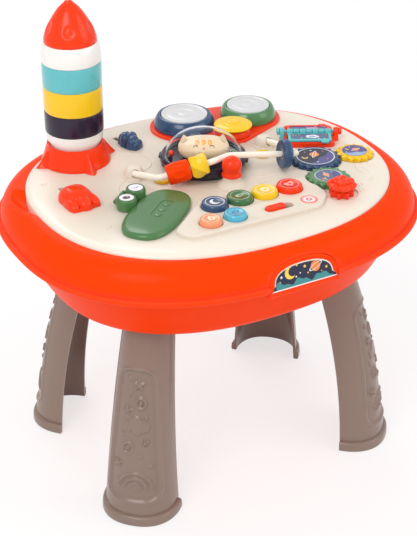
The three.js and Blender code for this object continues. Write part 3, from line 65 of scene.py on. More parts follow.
class Wire:
    # one socket of a node tree; arithmetic on it adds Math nodes
    def __init__(self, tree, socket):
        self.tree, self.socket = tree, socket

    def op(self, kind, *values):
        return self.tree.add("ShaderNodeMath", {"operation": kind}, dict(enumerate(values)))

    def __add__(self, other):
        return self.op("ADD", self, other)

    def __rsub__(self, other):
        return self.op("SUBTRACT", other, self)

    def __mul__(self, other):
        return self.op("MULTIPLY", self, other)

    def __truediv__(self, other):
        return self.op("DIVIDE", self, other)

    def __pow__(self, other):
        return self.op("POWER", self, other)


class Tree:
    def __init__(self, owner):
        owner.use_nodes = True
        self.owner = owner
        self.nodes, self.links = owner.node_tree.nodes, owner.node_tree.links
        self.nodes.clear()

    def add(self, kind, settings=None, sockets=None, out=0):
        node = self.nodes.new(kind)
        for key, value in (settings or {}).items():
            setattr(node, key, value)
        for key, value in (sockets or {}).items():
            if isinstance(value, Wire):
                self.links.new(value.socket, node.inputs[key])
            else:
                node.inputs[key].default_value = value
        return Wire(self, node.outputs[out]) if len(node.outputs) else None

    def noise(self, scale, detail=2.0, rough=0.5, stretch=None):
        where = self.add("ShaderNodeTexCoord", out="Object")
        if stretch:
            where = self.add("ShaderNodeMapping", None, {"Vector": where, "Scale": stretch})
        return self.add("ShaderNodeTexNoise", None,
                        {"Vector": where, "Scale": scale, "Detail": detail, "Roughness": rough})

    def blend(self, mask, first, second):
        return self.add("ShaderNodeMix", {"data_type": "RGBA"}, {0: mask, 6: first, 7: second}, out=2)

    # zero up to low, top from high on, and a ramp between
    def rise(self, value, low, high, top=1.0, **settings):
        return self.add("ShaderNodeMapRange", settings,
                        {"Value": value, "From Min": low, "From Max": high, "To Min": 0.0, "To Max": top})

    def bump(self, height, strength, distance):
        sockets = {"Strength": strength, "Distance": distance, "Height": height}
        return self.add("ShaderNodeBump", None, sockets)

    def skin(self, **sockets):
        named = {key.replace("_", " "): value for key, value in sockets.items()}
        body = self.add("ShaderNodeBsdfPrincipled", None, named)
        self.add("ShaderNodeOutputMaterial", None, {"Surface": body})
        return self.owner


def newTree(name):
    return Tree(bpy.data.materials.new(name))


# Moulded plastic: faint flow tint, handling scuffs, rubbed edges and a fine moulded grain.
def plastic(name, code, rough=0.24, grain=0.1, coat=0.45, wear=0.35, tint=0.05, shine=0.42):
    tree = newTree(name)
    base = shade(code)[:3]
    dark = [c * (1 - tint * 1.6) for c in base] + [1.0]
    light = [min(1.0, c * (1 + tint) + tint * 0.05) for c in base] + [1.0]
    rubbed = [c * 0.9 + 0.1 for c in base] + [1.0]
    flow = tree.noise(9.0, 3.0, 0.55)
    cloud = tree.noise(38.0, 4.0, 0.6)
    edge = tree.rise(tree.add("ShaderNodeNewGeometry", out="Pointiness"), 0.51, 0.58)
    specks = tree.noise(1400.0, 1.0)
    color = tree.blend(flow * 0.7 + cloud * 0.3, dark, light)
    color = tree.blend(edge * wear * (cloud * 0.8 + 0.2), color, rubbed)
    scuffs = tree.rise(tree.noise(60.0, 6.0, 0.7, (1.0, 5.0, 1.6)), 0.52, 0.75)
    roughness = scuffs * 0.12 + cloud * 0.07 + edge * 0.08 + (rough - 0.05)
    relief = tree.bump(specks * grain + flow * 1.5, 0.35, 0.00012)
    return tree.skin(Base_Color=color, Roughness=roughness, Normal=relief, Coat_Weight=coat,
                     Coat_Roughness=0.08, IOR=1.5, Specular_IOR_Level=shine)


def clearPlastic():
    tree = newTree("clearDome")
    haze = tree.noise(24.0, 4.0, 0.6)
    relief = tree.bump(haze, 0.08, 0.0001)
    return tree.skin(Base_Color=[0.97, 0.985, 0.99, 1], Roughness=haze * 0.05 + 0.01, Transmission_Weight=1.0,
                     IOR=1.1, Normal=relief)


def platedSteel():
    tree = newTree("platedSteel")
    brush = tree.noise(300.0, 3.0, 0.6, (1.0, 14.0, 14.0))
    color = tree.blend(brush, [0.42, 0.44, 0.46, 1], [0.62, 0.64, 0.66, 1])
    relief = tree.bump(brush, 0.2, 0.00005)
    return tree.skin(Base_Color=color, Metallic=0.9, Roughness=brush * 0.2 + 0.25, Normal=relief)


# Each finish: its slot in the part, the CAD nodes that wear it, and its colour and feel
finishes = {
    "tubRed": ("tub_plastic", "tub rim_ring front_bezel",
               dict(code="FF4000", rough=0.38, grain=0.35, coat=0.03, shine=0.04, tint=0.03)),
    "toyRed": ("red_plastic", "rocket_base nose_cone red_slider drum_plate cymbal_stand flip_tray"
               " flip_page_red gear_knob_red bead_orange joystick button_red slide_switch",
               dict(code="FC3A04", coat=0.12, shine=0.22, tint=0.04)),
    "cream": ("cream_plastic", "panel panel_base battery_door bead_rail cat_figure joystick_gimbal",
              dict(code="F6EBDC", rough=0.42, grain=0.5, coat=0.12, tint=0.03)),
    "white": ("white_plastic", "rocket_bottom_cup rocket_top_cup",
              dict(code="F6F3EE", rough=0.22, coat=0.5, tint=0.02)),
    "taupe": ("taupe_plastic", "leg_front_left leg_front_right leg_back_left leg_back_right",
              dict(code="8B766A", rough=0.34, grain=0.5, coat=0.22, tint=0.06)),
    "teal": ("teal_plastic", "ring_teal flip_rod flip_page_teal", dict(code="5FC0C6")),
    "yellow": ("yellow_plastic", "lens_left lens_right ring_yellow cymbal gear_yellow bead_yellow"
               " button_yellow",
               dict(code="FBCB16", coat=0.3, shine=0.3)),
    "purple": ("purple_plastic", "ring_purple saucer_ring",
               dict(code="2A1B33", rough=0.2, coat=0.16, shine=0.3)),
    "navy": ("navy_plastic", "blue_slider drum_blue_shell gear_blue bead_blue button_blue",
             dict(code="2B4A72", coat=0.35, shine=0.35)),
    "green": ("green_plastic", "drum_green_shell gear_green frog_lid frog_eyes", dict(code="4E8550")),
    "darkGreen": ("green_plastic", "button_green", dict(code="3B6E3F")),
    "salmon": ("salmon_plastic", "button_salmon", dict(code="F79B6E", rough=0.26, coat=0.4)),
    "lightBlue": ("light_blue_plastic", "button_light_blue", dict(code="55B9D6", rough=0.26, coat=0.4)),
    "catCream": ("cream_plastic", "", dict(code="E8CDA8", rough=0.3, grain=0.15, coat=0.3, tint=0.03)),
    "amber": ("yellow_plastic", "",
              dict(code="F8C80C", rough=0.12, grain=0.05, coat=0.5, wear=0.1, shine=0.3)),
    "frogGreen": ("green_plastic", "", dict(code="4B7A47", rough=0.2, grain=0.12, coat=0.3, shine=0.35)),
    "ivory": ("cream_plastic", "", dict(code="FFF4E4", rough=0.26, grain=0.08, coat=0.35, tint=0.02)),
    "padWhite": ("pad_plastic", "drum_blue_pad drum_green_pad",
                 dict(code="DAD9DB", rough=0.3, grain=0.12, coat=0.3, tint=0.02)),
    "boardGreen": ("board_laminate", "circuit_board", dict(code="2C6A45", rough=0.5, grain=0.4, coat=0.2)),
}
# Flat print inks and lacquers for the stickers and icons
inks = {"nightInk": "1D2440", "tealInk": "3E8E93", "orangeInk": "F08A3C", "yellowInk": "FFD45A",
        "paleInk": "F2F0F4", "roseInk": "E8868A", "skyInk": "9AB2D8", "violetInk": "54508F",
        "darkInk": "2B2230", "wineInk": "5A2A30", "linkBlack": "2A2A2E", "slateInk": "5B6B8C",
        "leafInk": "A9CDA0", "sandInk": "FFF0CB", "blushInk": "F7B3B0", "nightBlue": "2C7F9E",
        "catOrange": "F5A23C"}
paints, slots = {}, {}


def finish(name, material, slot, nodes=""):
    paints[name], slots[name] = material, slot
    for node in nodes.split():
        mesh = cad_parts[node].data
        mesh.materials.clear()
        mesh.materials.append(material)
        mesh.shade_smooth()
        mesh.set_sharp_from_angle(angle=radians(38))


for name, (slot, nodes, values) in finishes.items():
    finish(name, plastic(name, **values), slot, nodes)
for name, code in inks.items():
    paints[name] = plastic(name, code, rough=0.3, grain=0.02, coat=0.3, wear=0.0, tint=0.04)
finish("clear", clearPlastic(), "clear_plastic", "saucer_dome")
finish("steel", platedSteel(), "zinc_steel", "battery_cell_1 battery_cell_2 battery_cell_3 speaker")
print("finishes mixed:", len(paints))


# Forms. Everything below is in millimetres, in the table's own frame.

# angles spread evenly over a turn, and shares from 0 to 1 with both ends
def around(count, turn=2 * pi):
    return [turn * k / count for k in range(count)]


def shares(count):
    return [k / count for k in range(count + 1)]


def arc(wide, high, angles, x=0.0, y=0.0):
    return [(x + wide * cos(a), y + high * sin(a)) for a in angles]


def oval(half, wide, squareness, inset=0.0, count=160):
    power = 2 / squareness
    return [(copysign(abs(cos(a)) ** power, cos(a)) * (half - inset),
             copysign(abs(sin(a)) ** power, sin(a)) * (wide - inset)) for a in around(count)]


def circle(radius, count=64):
    return oval(radius, radius, 2, 0, count)


def wavy(radius, depth, waves, phase=0.0, steps=12):
    spots = [(radius + depth * cos(waves * a + phase), a) for a in around(waves * steps)]
    return [(reach * cos(a), reach * sin(a)) for reach, a in spots]


def starShape(points, outer, inner):
    spots = [(inner if i % 2 else outer, pi * i / points + pi / 2) for i in range(2 * points)]
    return [(reach * cos(a), reach * sin(a)) for reach, a in spots]


def crescent(radius, bite=0.55, count=20):
    outer = arc(radius, radius, [0.9 + i * (2 * pi - 1.8) / count for i in range(count + 1)])
    tipX, tipY = outer[0]
    mid = tipX - radius * bite * 0.2
    reach, lean = hypot(tipX - mid, tipY), atan2(tipY, tipX - mid)
    inner = [-i * 2 * (pi - lean) / count + 2 * pi - lean for i in range(1, count)]
    return outer + arc(reach, reach, inner, mid)


def bend(start, at, end, t):
    return start * (1 - t) ** 2 + at * 2 * t * (1 - t) + end * t * t


# A closed outline through corners, each rounded by the same reach
def roundCorners(corners, reach, steps=8):
    ring = []
    spots = [Vector(c) for c in corners]
    for before, at, after in zip(spots[-1:] + spots, spots, spots[1:] + spots[:1]):
        start, end = at + (before - at).normalized() * reach, at + (after - at).normalized() * reach
        ring += [tuple(bend(start, at, end, t)) for t in shares(steps)]
    return ring


def rectangle(length, width):
    x, y = length / 2, width / 2
    return [(-x, -y), (x, -y), (x, y), (-x, y)]


def softBox(length, width, reach, steps=4):
    return roundCorners(rectangle(length, width), reach, steps)


def pill(length, width, steps=10):
    return softBox(length, width, width / 2.05, steps)


# Moves each point of an outline outward along its own normal
def offset(ring, distance):
    moved = []
    for (ax, ay), (x, y), (bx, by) in zip(ring[-1:] + ring, ring, ring[1:] + ring[:1]):
        dx, dy = bx - ax, by - ay
        size = hypot(dx, dy) or 1.0
        moved.append((x + distance * dy / size, y - distance * dx / size))
    return moved


def level(ring, z):
    return [(p[0], p[1], z) for p in ring]


# A smooth line through the points of a profile
def smooth(points, steps=6):
    line = []
    last = len(points) - 1
    for i in range(last):
        p = [Vector(points[max(0, min(last, k))]) for k in (i - 1, i, i + 1, i + 2)]
        for t in shares(steps)[:-1]:
            spot = ((p[1] * 2) + (p[2] - p[0]) * t + (p[0] * 2 - p[1] * 5 + p[2] * 4 - p[3]) * t * t
                    + (p[1] * 3 - p[0] - p[2] * 3 + p[3]) * t ** 3) * 0.5
            line.append(tuple(spot))
    return line + [tuple(points[last])]


# A smooth line through shares of a width and a height
def scaled(points, wide, high, steps=5):
    return [(s * wide, h * high) for s, h in smooth(points, steps)]


def loft(rings, loop=False):
    count = len(rings[0])
    faces = []
    for row in range(len(rings) if loop else len(rings) - 1):
        low, high = row * count, (row + 1) % len(rings) * count
        faces += [(low + i, low + (i + 1) % count, high + (i + 1) % count, high + i) for i in range(count)]
    if not loop:
        top = (len(rings) - 1) * count
        faces += [tuple(reversed(range(count))), tuple(range(top, top + count))]
    return [p for ring in rings for p in ring], faces


# A turned form; its wave changes the radius by angle and height
def turned(profile, sides=72, wave=None):
    rings = []
    for r, z in profile:
        reaches = [max(r, 0.02) + (wave(a, z) if wave and r > 1 else 0.0) for a in around(sides)]
        rings.append([(reach * cos(a), reach * sin(a), z) for reach, a in zip(reaches, around(sides))])
    return loft(rings)


def drum(radius, low, high, sides=40):
    return turned([(0, low), (radius, low), (radius, high), (0, high)], sides)


def prism(ring, low, high):
    return loft([level(ring, low), level(ring, high)])


# A slab with a rounded upper edge, and the lower one too if asked
def pillowRings(ring, low, high, edge=1.5, under=0.0, steps=5):
    rings = [] if under else [level(ring, low)]
    if under:
        rings += [level(offset(ring, -under * (1 - sin(k / steps * pi / 2))),
                        low + under * (1 - cos(k / steps * pi / 2))) for k in range(steps)]
    return rings + [level(offset(ring, -edge * (1 - cos(k / steps * pi / 2))),
                          high - edge * (1 - sin(k / steps * pi / 2))) for k in range(steps + 1)]


def pillow(*values):
    return loft(pillowRings(*values))


def ball(scale, sides=32):
    profile = [(sin(pi * k / sides * 2), -cos(pi * k / sides * 2)) for k in range(sides // 2 + 1)]
    points, faces = turned(profile, sides)
    return [tuple(p * s for p, s in zip(point, scale)) for point in points], faces


def place(parts, x=0.0, y=0.0, z=0.0, turn=0.0, tilt=None):
    matrix = Matrix.Translation((x, y, z)) @ Matrix.Rotation(turn, 4, "Z") @ (tilt or Matrix.Identity(4))
    return [tuple(matrix @ Vector(p)) for p in parts[0]], parts[1]


# Returns a function that places forms at one spot
def mover(*where):
    return lambda parts: place(parts, *where)


def gather(*many):
    points, faces = [], []
    for some in many:
        faces += [tuple(i + len(points) for i in face) for face in some[1]]
        points += some[0]
    return points, faces


# A round rod along a smooth line of 3-D points
def rod(line, radius, sides=20, taper=None):
    spots = [Vector(p) for p in line]
    rings = []
    side = None
    for i, spot in enumerate(spots):
        ahead = (spots[min(i + 1, len(spots) - 1)] - spots[max(i - 1, 0)]).normalized()
        if side is None:
            side = ahead.orthogonal().normalized()
        side = (side - ahead * side.dot(ahead)).normalized()
        other = ahead.cross(side)
        r = radius * (taper(i / (len(spots) - 1)) if taper else 1.0)
        rings.append([tuple(spot + (side * cos(a) + other * sin(a)) * r) for a in around(sides)])
    return loft(rings)


# A round bar along X with soft ends
def bar(radius, length, x=0.0, y=0.0, z=0.0, soft=0.4, sides=32):
    end = -length / 2
    line = [(0, end), (radius - soft, end), (radius - soft * 0.3, end + soft * 0.3), (radius, end + soft)]
    line += [(r, -along) for r, along in line[::-1]]
    return place(turned(line, sides), x, y, z, 0, Matrix.Rotation(pi / 2, 4, "Y"))


def looseMesh(name, parts):
    mesh = bpy.data.meshes.new(name)
    mesh.from_pydata([Vector(p) * mm for p in parts[0]], [], parts[1])
    work = bmesh.new()
    work.from_mesh(mesh)
    bmesh.ops.recalc_face_normals(work, faces=work.faces)
    work.to_mesh(mesh)
    work.free()
    obj = bpy.data.objects.new(name, mesh)
    bpy.context.collection.objects.link(obj)
    return obj


def combine(obj, parts, operation):
    tool = looseMesh("tool", parts)
    carve = obj.modifiers.new("carve", "BOOLEAN")
    carve.operation, carve.solver, carve.object = operation, "MANIFOLD", tool
    done = bpy.data.meshes.new_from_object(obj.evaluated_get(bpy.context.evaluated_depsgraph_get()))
    obj.modifiers.clear()
    obj.data = done
    bpy.data.objects.remove(tool)


# Makes one piece: its mesh, cuts and joins, its paint, the body it rides on and the node it replaces
def make(name, parts, paint, body, node="", cuts=(), joins=(), sharp=35):
    obj = looseMesh(name, parts)
    for more in joins:
        combine(obj, more, "UNION")
    for less in cuts:
        combine(obj, less, "DIFFERENCE")
    obj.data.materials.clear()
    obj.data.materials.append(paints[paint])
    obj.data.shade_smooth()
    obj.data.set_sharp_from_angle(angle=radians(sharp))
    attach(obj, body)
    if node:
        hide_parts(node)
    paint in slots


# A thin printed mark on a level face
def mark(name, ring, paint, body, x, y, z, turn=0.0, thick=0.05):
    make(name, place(prism(ring, 0, thick), x, y, z, radians(turn)), paint, body)


# Tub, rim ring and front bezel

tub = {"half": 229.5, "wide": 195.0, "squareness": 2.4, "bottom": 225.0, "lipBottom": 288.0, "flare": 57.5,
       "wall": 3.0,
       "bowl": [(1, 0), (0.93, 0.008), (0.86, 0.035), (0.73, 0.14), (0.58, 0.4), (0.42, 0.68), (0.27, 0.95)],
       "lip": [(7, 287.2), (3.5, 287.6), (1.4, 288.6), (0.3, 290.2), (0, 291.5), (0, 293.6), (0.5, 294.6),
               (1.6, 295.1), (18.5, 295.1)]}
bezel = {"x": 3.0, "half": 40.0, "straight": 12.0, "height": 35.0, "foot": 284.0, "back": 15.0,
         "tilt": radians(16), "frame": 5.0, "sink": 1.6, "print": -1.05, "printThick": 0.1}
rim = {"inset": 4.5, "crest": 326.0, "foot": 295.4, "seat": 311.7, "slack": 0.5, "wall": 3.0}
scoop = {"x": -193.0, "y": 38.0, "lift": 340.0, "size": (60.0, 17.0, 24.0), "turn": radians(100)}
panel = {"half": 198.3, "wide": 167.2, "squareness": 2.31, "top": 331.0, "round": 14.0, "edgeRise": 5.0,
         "edge": [(0, 0), (0.05, 0.36), (0.2, 0.7), (0.5, 0.92), (1, 1)]}
leg = {"x": 135.0, "y": 94.0, "plug": -24.0, "lean": 42.0, "bow": 9.0, "footHalf": 41.0, "topHalf": 27.0,
       "footDepth": 44.0, "topDepth": 36.0, "wall": 3.0, "roundness": 2.3, "flare": 3.5, "top": 224.7,
       "plate": 3.0, "fieldLow": 30.0, "fieldHigh": 178.0, "fieldLowHalf": 29.5, "fieldHighHalf": 18.5,
       "fieldCorner": 12.0, "sink": 2.3, "border": 0.9, "beadFoot": 8.4, "beadRise": 3.6, "footRound": 1.6,
       "notch": 0.5, "steps": 120, "carveLow": 26, "carveHigh": 184, "carveStep": 1.2,
       "footLevels": [0, 0.5, 1.2, 2.4, 4, 7, 9, 10, 10.8, 11.4, 11.8, 12.0, 12.3, 12.8, 14, 18, 23],
       "topLevels": [184, 190, 197, 204, 211, 218]}
legPlaces = [("front_left", -1, -1), ("front_right", 1, -1), ("back_left", -1, 1), ("back_right", 1, 1)]
badgeStars = [(-26, 19, 1.5), (-22, 26, 0.9), (-7, 27.5, 1.3), (-4, 18.5, 0.9), (2, 24, 1.7), (5, 16.5, 1.0),
              (25, 27, 1.2), (27, 17.5, 1.5), (-28, 14.5, 0.8), (-9, 15.8, 1.1), (21, 14.6, 0.8),
              (9, 29.2, 0.9)]
leanOut, leanUp = sin(bezel["tilt"]), cos(bezel["tilt"])
onBezel = Matrix(((1, 0, 0, bezel["x"]), (0, leanOut, -leanUp, -tub["wide"]),
                  (0, leanUp, leanOut, bezel["foot"]), (0, 0, 0, 1)))


def ovalRing(form, inset, z, count=200):
    return level(oval(form["half"], form["wide"], form["squareness"], inset, count), z)


def arch(margin=0.0):
    half, straight, height = bezel["half"] + margin, bezel["straight"], bezel["height"] + margin
    corners = [(half, straight), (half, height * 0.8), (half * 0.62, height), (0, height)]
    a, b, c, d = [Vector(corner) for corner in corners]
    side = [tuple(a * (1 - t) ** 3 + b * 3 * t * (1 - t) ** 2 + c * 3 * t * t * (1 - t) + d * t ** 3)
            for t in shares(16)]
    return [(-half, -margin), (half, -margin)] + side + [(-x, y) for x, y in reversed(side[:-1])]


def bezelCut():
    return place(prism(arch(0.3), -bezel["back"], bezel["back"]), tilt=onBezel)


def makeTub():
    bottom, wall = tub["bottom"], tub["wall"]
    bowl = scaled(tub["bowl"], tub["flare"], tub["lipBottom"] - bottom, 6)
    rings = [ovalRing(tub, inset, bottom + z) for inset, z in bowl]
    rings += [ovalRing(tub, *spot) for spot in tub["lip"]]
    rings += [ovalRing(tub, inset + wall, bottom + z + wall) for inset, z in reversed(bowl)]
    boss = turned([(0, 225.5), (13.5, 225.5), (13.5, 231), (12.5, 232.7), (0, 232.7)], 40)
    out = leg["plug"] / sqrt(2)
    bosses = [place(boss, side * (leg["x"] + out), end * (leg["y"] + out)) for _, side, end in legPlaces]
    make("tubShell", loft(rings), "tubRed", "stand", "tub", [bezelCut()], bosses, 50)


def scoopBall(grow):
    form = ball([s + grow for s in scoop["size"]], 72)
    return place(form, scoop["x"], scoop["y"], scoop["lift"], scoop["turn"])


def makeRim():
    foot, wall, slack, seat = rim["foot"], rim["wall"], rim["slack"], rim["seat"]

    def domeRing(share, inward):
        z = foot + (rim["crest"] - foot - inward) * sqrt(max(0, 1 - (1 - share) ** 2))
        outer = ovalRing(tub, rim["inset"] + inward, z)
        inner = ovalRing(panel, -slack - (wall if inward else 0), z)
        return [tuple(Vector(a).lerp(Vector(b), share)) for a, b in zip(outer, inner)]

    steps = [1 - cos(t * pi / 2) for t in shares(22)]
    outside = [domeRing(s, 0) for s in steps]
    ledge = [(-slack, seat), (8, seat), (8, seat - wall), (-3.5, seat - wall)]
    ledge = [ovalRing(panel, *spot) for spot in ledge]
    inside = [domeRing(s, wall) for s in reversed(steps[:-1])]
    filled = looseMesh("filled", loft(outside + [ovalRing(panel, -slack, foot)], loop=True))
    combine(filled, scoopBall(wall), "INTERSECT")
    faces = [tuple(f.vertices) for f in filled.data.polygons]
    backing = [tuple(v.co / mm) for v in filled.data.vertices], faces
    bpy.data.objects.remove(filled)
    make("rimShell", loft(outside + ledge + inside, loop=True), "tubRed", "stand", "rim_ring",
         [scoopBall(0), bezelCut()], [backing], 42)


def makeBezel():
    frameWidth, sink, low = bezel["frame"], bezel["sink"], bezel["print"]
    onFace = mover(0, 0, 0, 0, onBezel)
    make("bezelArch", onFace(pillow(arch(), -bezel["back"], 0, 2.2)), "tubRed", "stand", "front_bezel",
         [onFace(prism(offset(arch(), -frameWidth), -sink, 3))], sharp=40)
    face, field = offset(arch(), -frameWidth - 0.4), offset(arch(), -frameWidth - 1.9)
    make("badgeRim", onFace(pillow(face, -sink, -1.15, 0.2)), "white", "stand")
    make("badgeField", onFace(prism(field, low - 0.25, low)), "nightInk", "stand")

    def sticker(name, ring, paint, x=0.0, y=0.0, turn=0.0, lift=0.02, flat=1.0):
        squash = Matrix.Diagonal((1, flat, 1, 1))
        form = prism(ring, low + lift, low + bezel["printThick"] + lift)
        form = place(form, x, y, 0, radians(turn), squash)
        make("badge" + name, onFace(form), paint, "stand")

    hills = [(-33 + i * 66 / 40, 11.5 + 2.2 * sin(i * 0.42 + 0.6) + 1.2 * sin(i * 0.93)) for i in range(41)]
    sticker("Hills", [(-33, 6.9)] + hills + [(33, 6.9)], "tealInk", lift=0.0)
    sticker("Planet", circle(5.6, 40), "orangeInk", 14.5, 21.5)
    ring = wavy(8.6, 0, 1, 0, 60) + wavy(7.2, 0, 1, 0, 60)[::-1]
    sticker("PlanetRing", ring, "paleInk", 14.5, 21.5, 24, 0.12, 0.3)
    sticker("Moon", crescent(6.2), "yellowInk", -15.5, 21.0, 20)
    for i, (x, y, size) in enumerate(badgeStars):
        star, ink = starShape(5, size * 1.25, size * 0.55), "yellowInk" if i % 3 else "paleInk"
        sticker("Star%d" % (i + 1), star, ink, x, y, i * 17)


# Legs: open channels with a sunk field and a cast relief on the outer face; each relief has
# its kind, its place across and up the leg, and its size

legReliefs = [("star", 3, 163, 7.5), ("dot", -9, 168, 2.2), ("dot", -8, 152, 2.8), ("ring", 6, 143, 7.5),
              ("star", -9, 134, 6.0), ("dot", 13, 128, 2.4), ("cloud", 2, 117, 16.0), ("dot", -14, 106, 2.4),
              ("star", 13, 100, 5.5), ("ring", -7, 92, 8.0), ("dot", 8, 84, 2.8), ("arcs", 3, 44, 21.0),
              ("star", -18, 72, 6.0), ("dot", -17, 50, 2.8), ("dot", 20, 72, 2.6)]
cloudLobes = [(-9, 0, 6.0), (0, 4, 8.0), (9, 0.5, 6.5), (2, -3, 6.0)]
castHeight, starHeight, dotHeight, arcSpacing = 1.9, 2.0, 1.8, 6.2


def ramp(value, low, high):
    t = min(1.0, max(0.0, (value - low) / (high - low)))
    return t * t * (3 - 2 * t)


def reliefHeight(kind, y, z, size):
    r = hypot(y, z)
    if r > size + 1.2:
        return 0.0
    if kind == "cloud":
        inside = max(radius - hypot(y - ly, z - lz) for ly, lz, radius in cloudLobes)
        return castHeight * ramp(inside, -0.5, 0.9)
    if kind == "arcs":
        inside = 1.9 - abs((size - r) % arcSpacing - 2.0)
        return castHeight * ramp(inside, -0.3, 1.1) * ramp(z, 0, 1.5) if r > 4 else 0.0
    if kind == "star":
        return starHeight * ramp(size * (0.66 + 0.3 * cos(5 * atan2(y, z))) - r, -0.5, 0.9)
    if kind == "ring":
        return castHeight * ramp(1.9 - abs(r - size + 1.9), -0.2, 1.2) + 1.7 * ramp(size * 0.3 - r, -0.5, 0.7)
    return dotHeight * ramp(size - r, -0.4, 1.0)


def legHeight(y, z):
    low, high, corner = leg["fieldLow"], leg["fieldHigh"], leg["fieldCorner"]
    half = leg["fieldLowHalf"] + (leg["fieldHighHalf"] - leg["fieldLowHalf"]) * (z - low) / (high - low)
    dx, dz = half - abs(y), min(z - low, high - z)
    inner = min(dx, dz)
    if dx < corner and dz < corner:
        inner = corner - hypot(corner - dx, corner - dz)
    border = leg["border"] * ramp(inner, -3.6, -2.2) * (1 - ramp(inner, -1.2, 0.0))
    height = -leg["sink"] * ramp(inner, 0.0, 1.5) + border
    if inner > 2.5:
        height += sum(reliefHeight(kind, y - cy, z - cz, size) for kind, cy, cz, size in legReliefs)
    return height


def legRow(z, grow, steps, carved=False):
    share = z / leg["top"]
    half = leg["footHalf"] + (leg["topHalf"] - leg["footHalf"]) * share
    depth = leg["footDepth"] + (leg["topDepth"] - leg["footDepth"]) * share
    start = leg["bow"] * 4 * share * (1 - share) - leg["lean"] * share
    power = 2 / leg["roundness"]
    row = []
    for i in range(steps + 1):
        angle = -pi / 2 + i / steps * pi
        s = copysign(abs(sin(angle)) ** power, sin(angle))
        more = grow + (legHeight(s * half, z) if carved and abs(angle) < 1.2 else 0.0)
        out = 0.0 if i in (0, steps) else (depth + more) * max(0, cos(angle)) ** power
        row.append((start + out, (half + more) * s, z))
    return row


def makeLegs():
    low, step, steps = leg["carveLow"], leg["carveStep"], leg["steps"]
    levels = leg["footLevels"] + [low + k * step for k in range(int((leg["carveHigh"] - low) / step))]
    levels += leg["topLevels"] + [leg["top"]]
    rows = []
    for z in levels:
        bead = max(0.0, 1 - max(0.0, (z - leg["beadFoot"]) / leg["beadRise"]) ** 2) ** 0.5
        flare = leg["flare"] * bead - leg["footRound"] * (1 - min(1.0, z / 2.4)) ** 2
        flare -= leg["notch"] * (1 - bead) * (1 - ramp(z, 12.3, 14.0))
        rows.append(legRow(z, flare, steps, True) + legRow(z, -leg["wall"], steps)[::-1])
    lid = loft([legRow(z, -0.5, 60) for z in (leg["top"] - leg["plate"], leg["top"])])
    plug = place(turned([(0, 222), (10, 222), (10, 228.6), (9.2, 229.4), (0, 229.4)], 40), leg["plug"])
    form = gather(loft(rows), lid, plug)
    for name, side, end in legPlaces:
        standing = place(form, side * leg["x"], end * leg["y"], 0, atan2(end, side))
        make("legChannel_" + name, standing, "taupe", "stand", "leg_" + name, sharp=48)


makeTub()
makeRim()
makeBezel()
makeLegs()
print("stand made")


# Toy panel: one moulding with its console, posts, joystick cone, gear pockets and frog well

onTop, underDeck = 331.3, 326.0
plateau = {"top": 335.0, "corner": 9.0, "edge": 1.2,
           "corners": [(-99.3, -106.6), (-88, -126), (62, -130), (83, -108), (83, -61), (-41.9, -56.7)]}
posts = [(-74, 34), (89.5, 33)]
frog = {"half": 54.0, "wide": 28.3, "squareness": 2.7, "eyes": (5.1, 29.7), "eyeY": 35.5,
        "hinge": (17.4, 48.7, 336.3), "barrelOut": 7.8, "eyeFoot": 332.3, "eyeTop": 343.95}
onCone = mover(7.6, -36.5)
atFrog = mover(-95.5, -61.5, 0, radians(41))
toothSize, meshSlack, gearRoom, pocket = 1.5, 0.3, 3.1, (329, 335.2)
buttonPlay, coneMouth, railSeat = 0.6, 7.5, 4.6
gears = {"blue": dict(x=119.5, y=-28.0, phase=0.0, teeth=18, paint="navy", print=21.3, field="nightInk",
                      turn=25),
         "yellow": dict(driver="blue", bearing=-11, teeth=13, paint="yellow", print=13.9, field="violetInk",
                        turn=-20, rim=False),
         "green": dict(driver="blue", bearing=-106.8, teeth=15, paint="green", print=14.8, field="slateInk",
                       turn=60),
         "red": dict(driver="green", bearing=-99.4, teeth=8, room=18.3)}
buttons = [  # name, x, y, radius, paint, colour of its print, icon
    ("blue", -36.3, -77.5, 14.2, "navy", "paleInk", "moon"),
    ("green", -6.3, -77.4, 14.2, "darkGreen", "leafInk", "leaf"),
    ("yellow", 23.4, -78.4, 14.2, "yellow", "sandInk", "sun"),
    ("red", 53.0, -79.8, 14.2, "toyRed", "blushInk", "heart"),
    ("salmon", -57.6, -107.6, 12.0, "salmon", "sandInk", "drop"),
    ("light_blue", -29.2, -107.8, 12.0, "lightBlue", "nightBlue", "cloud")]
switch = {"y": -111.5, "slotX": 21, "knobX": 16.75}
# each lobe of a sliding toy: middle x and y, half width, half length, height
sliders = {"red": dict(x=-153.0, y=6.0, turn=4, travel=26.0, stem=16.0, along=6.0, length=46, skew=0.0,
                       paint="toyRed", lobes=[(0, 5.2, 17.2, 17.6, 15.0), (0, -8.4, 8.4, 14.5, 11.6),
                                              (-12.2, -8.2, 5.8, 12.6, 9.0), (12.2, -8.2, 5.8, 12.6, 9.0)]),
           "blue": dict(x=-42.0, y=107.0, turn=16, travel=20.0, stem=10.0, along=2.0, length=33, skew=0.22,
                        paint="navy", lobes=[(0, 10.6, 8.6, 5.9, 11.6), (-1.8, 5.2, 9.2, 5.6, 14.6),
                                             (1.6, -0.6, 9.4, 5.6, 14.9), (-1.6, -6.2, 9.2, 5.6, 13.4),
                                             (0, -11.2, 8.6, 5.3, 9.8)])}

# Each gear stands at its own bearing from the one that drives it, in mesh with it.
for gear in gears.values():
    if "driver" in gear:
        driver, bearing = gears[gear["driver"]], radians(gear["bearing"])
        distance = toothSize * (driver["teeth"] + gear["teeth"]) + meshSlack
        gear["x"] = driver["x"] + distance * cos(bearing)
        gear["y"] = driver["y"] + distance * sin(bearing)
        gear["phase"] = pi - (driver["teeth"] * bearing + driver["phase"]) - gear["teeth"] * (bearing + pi)


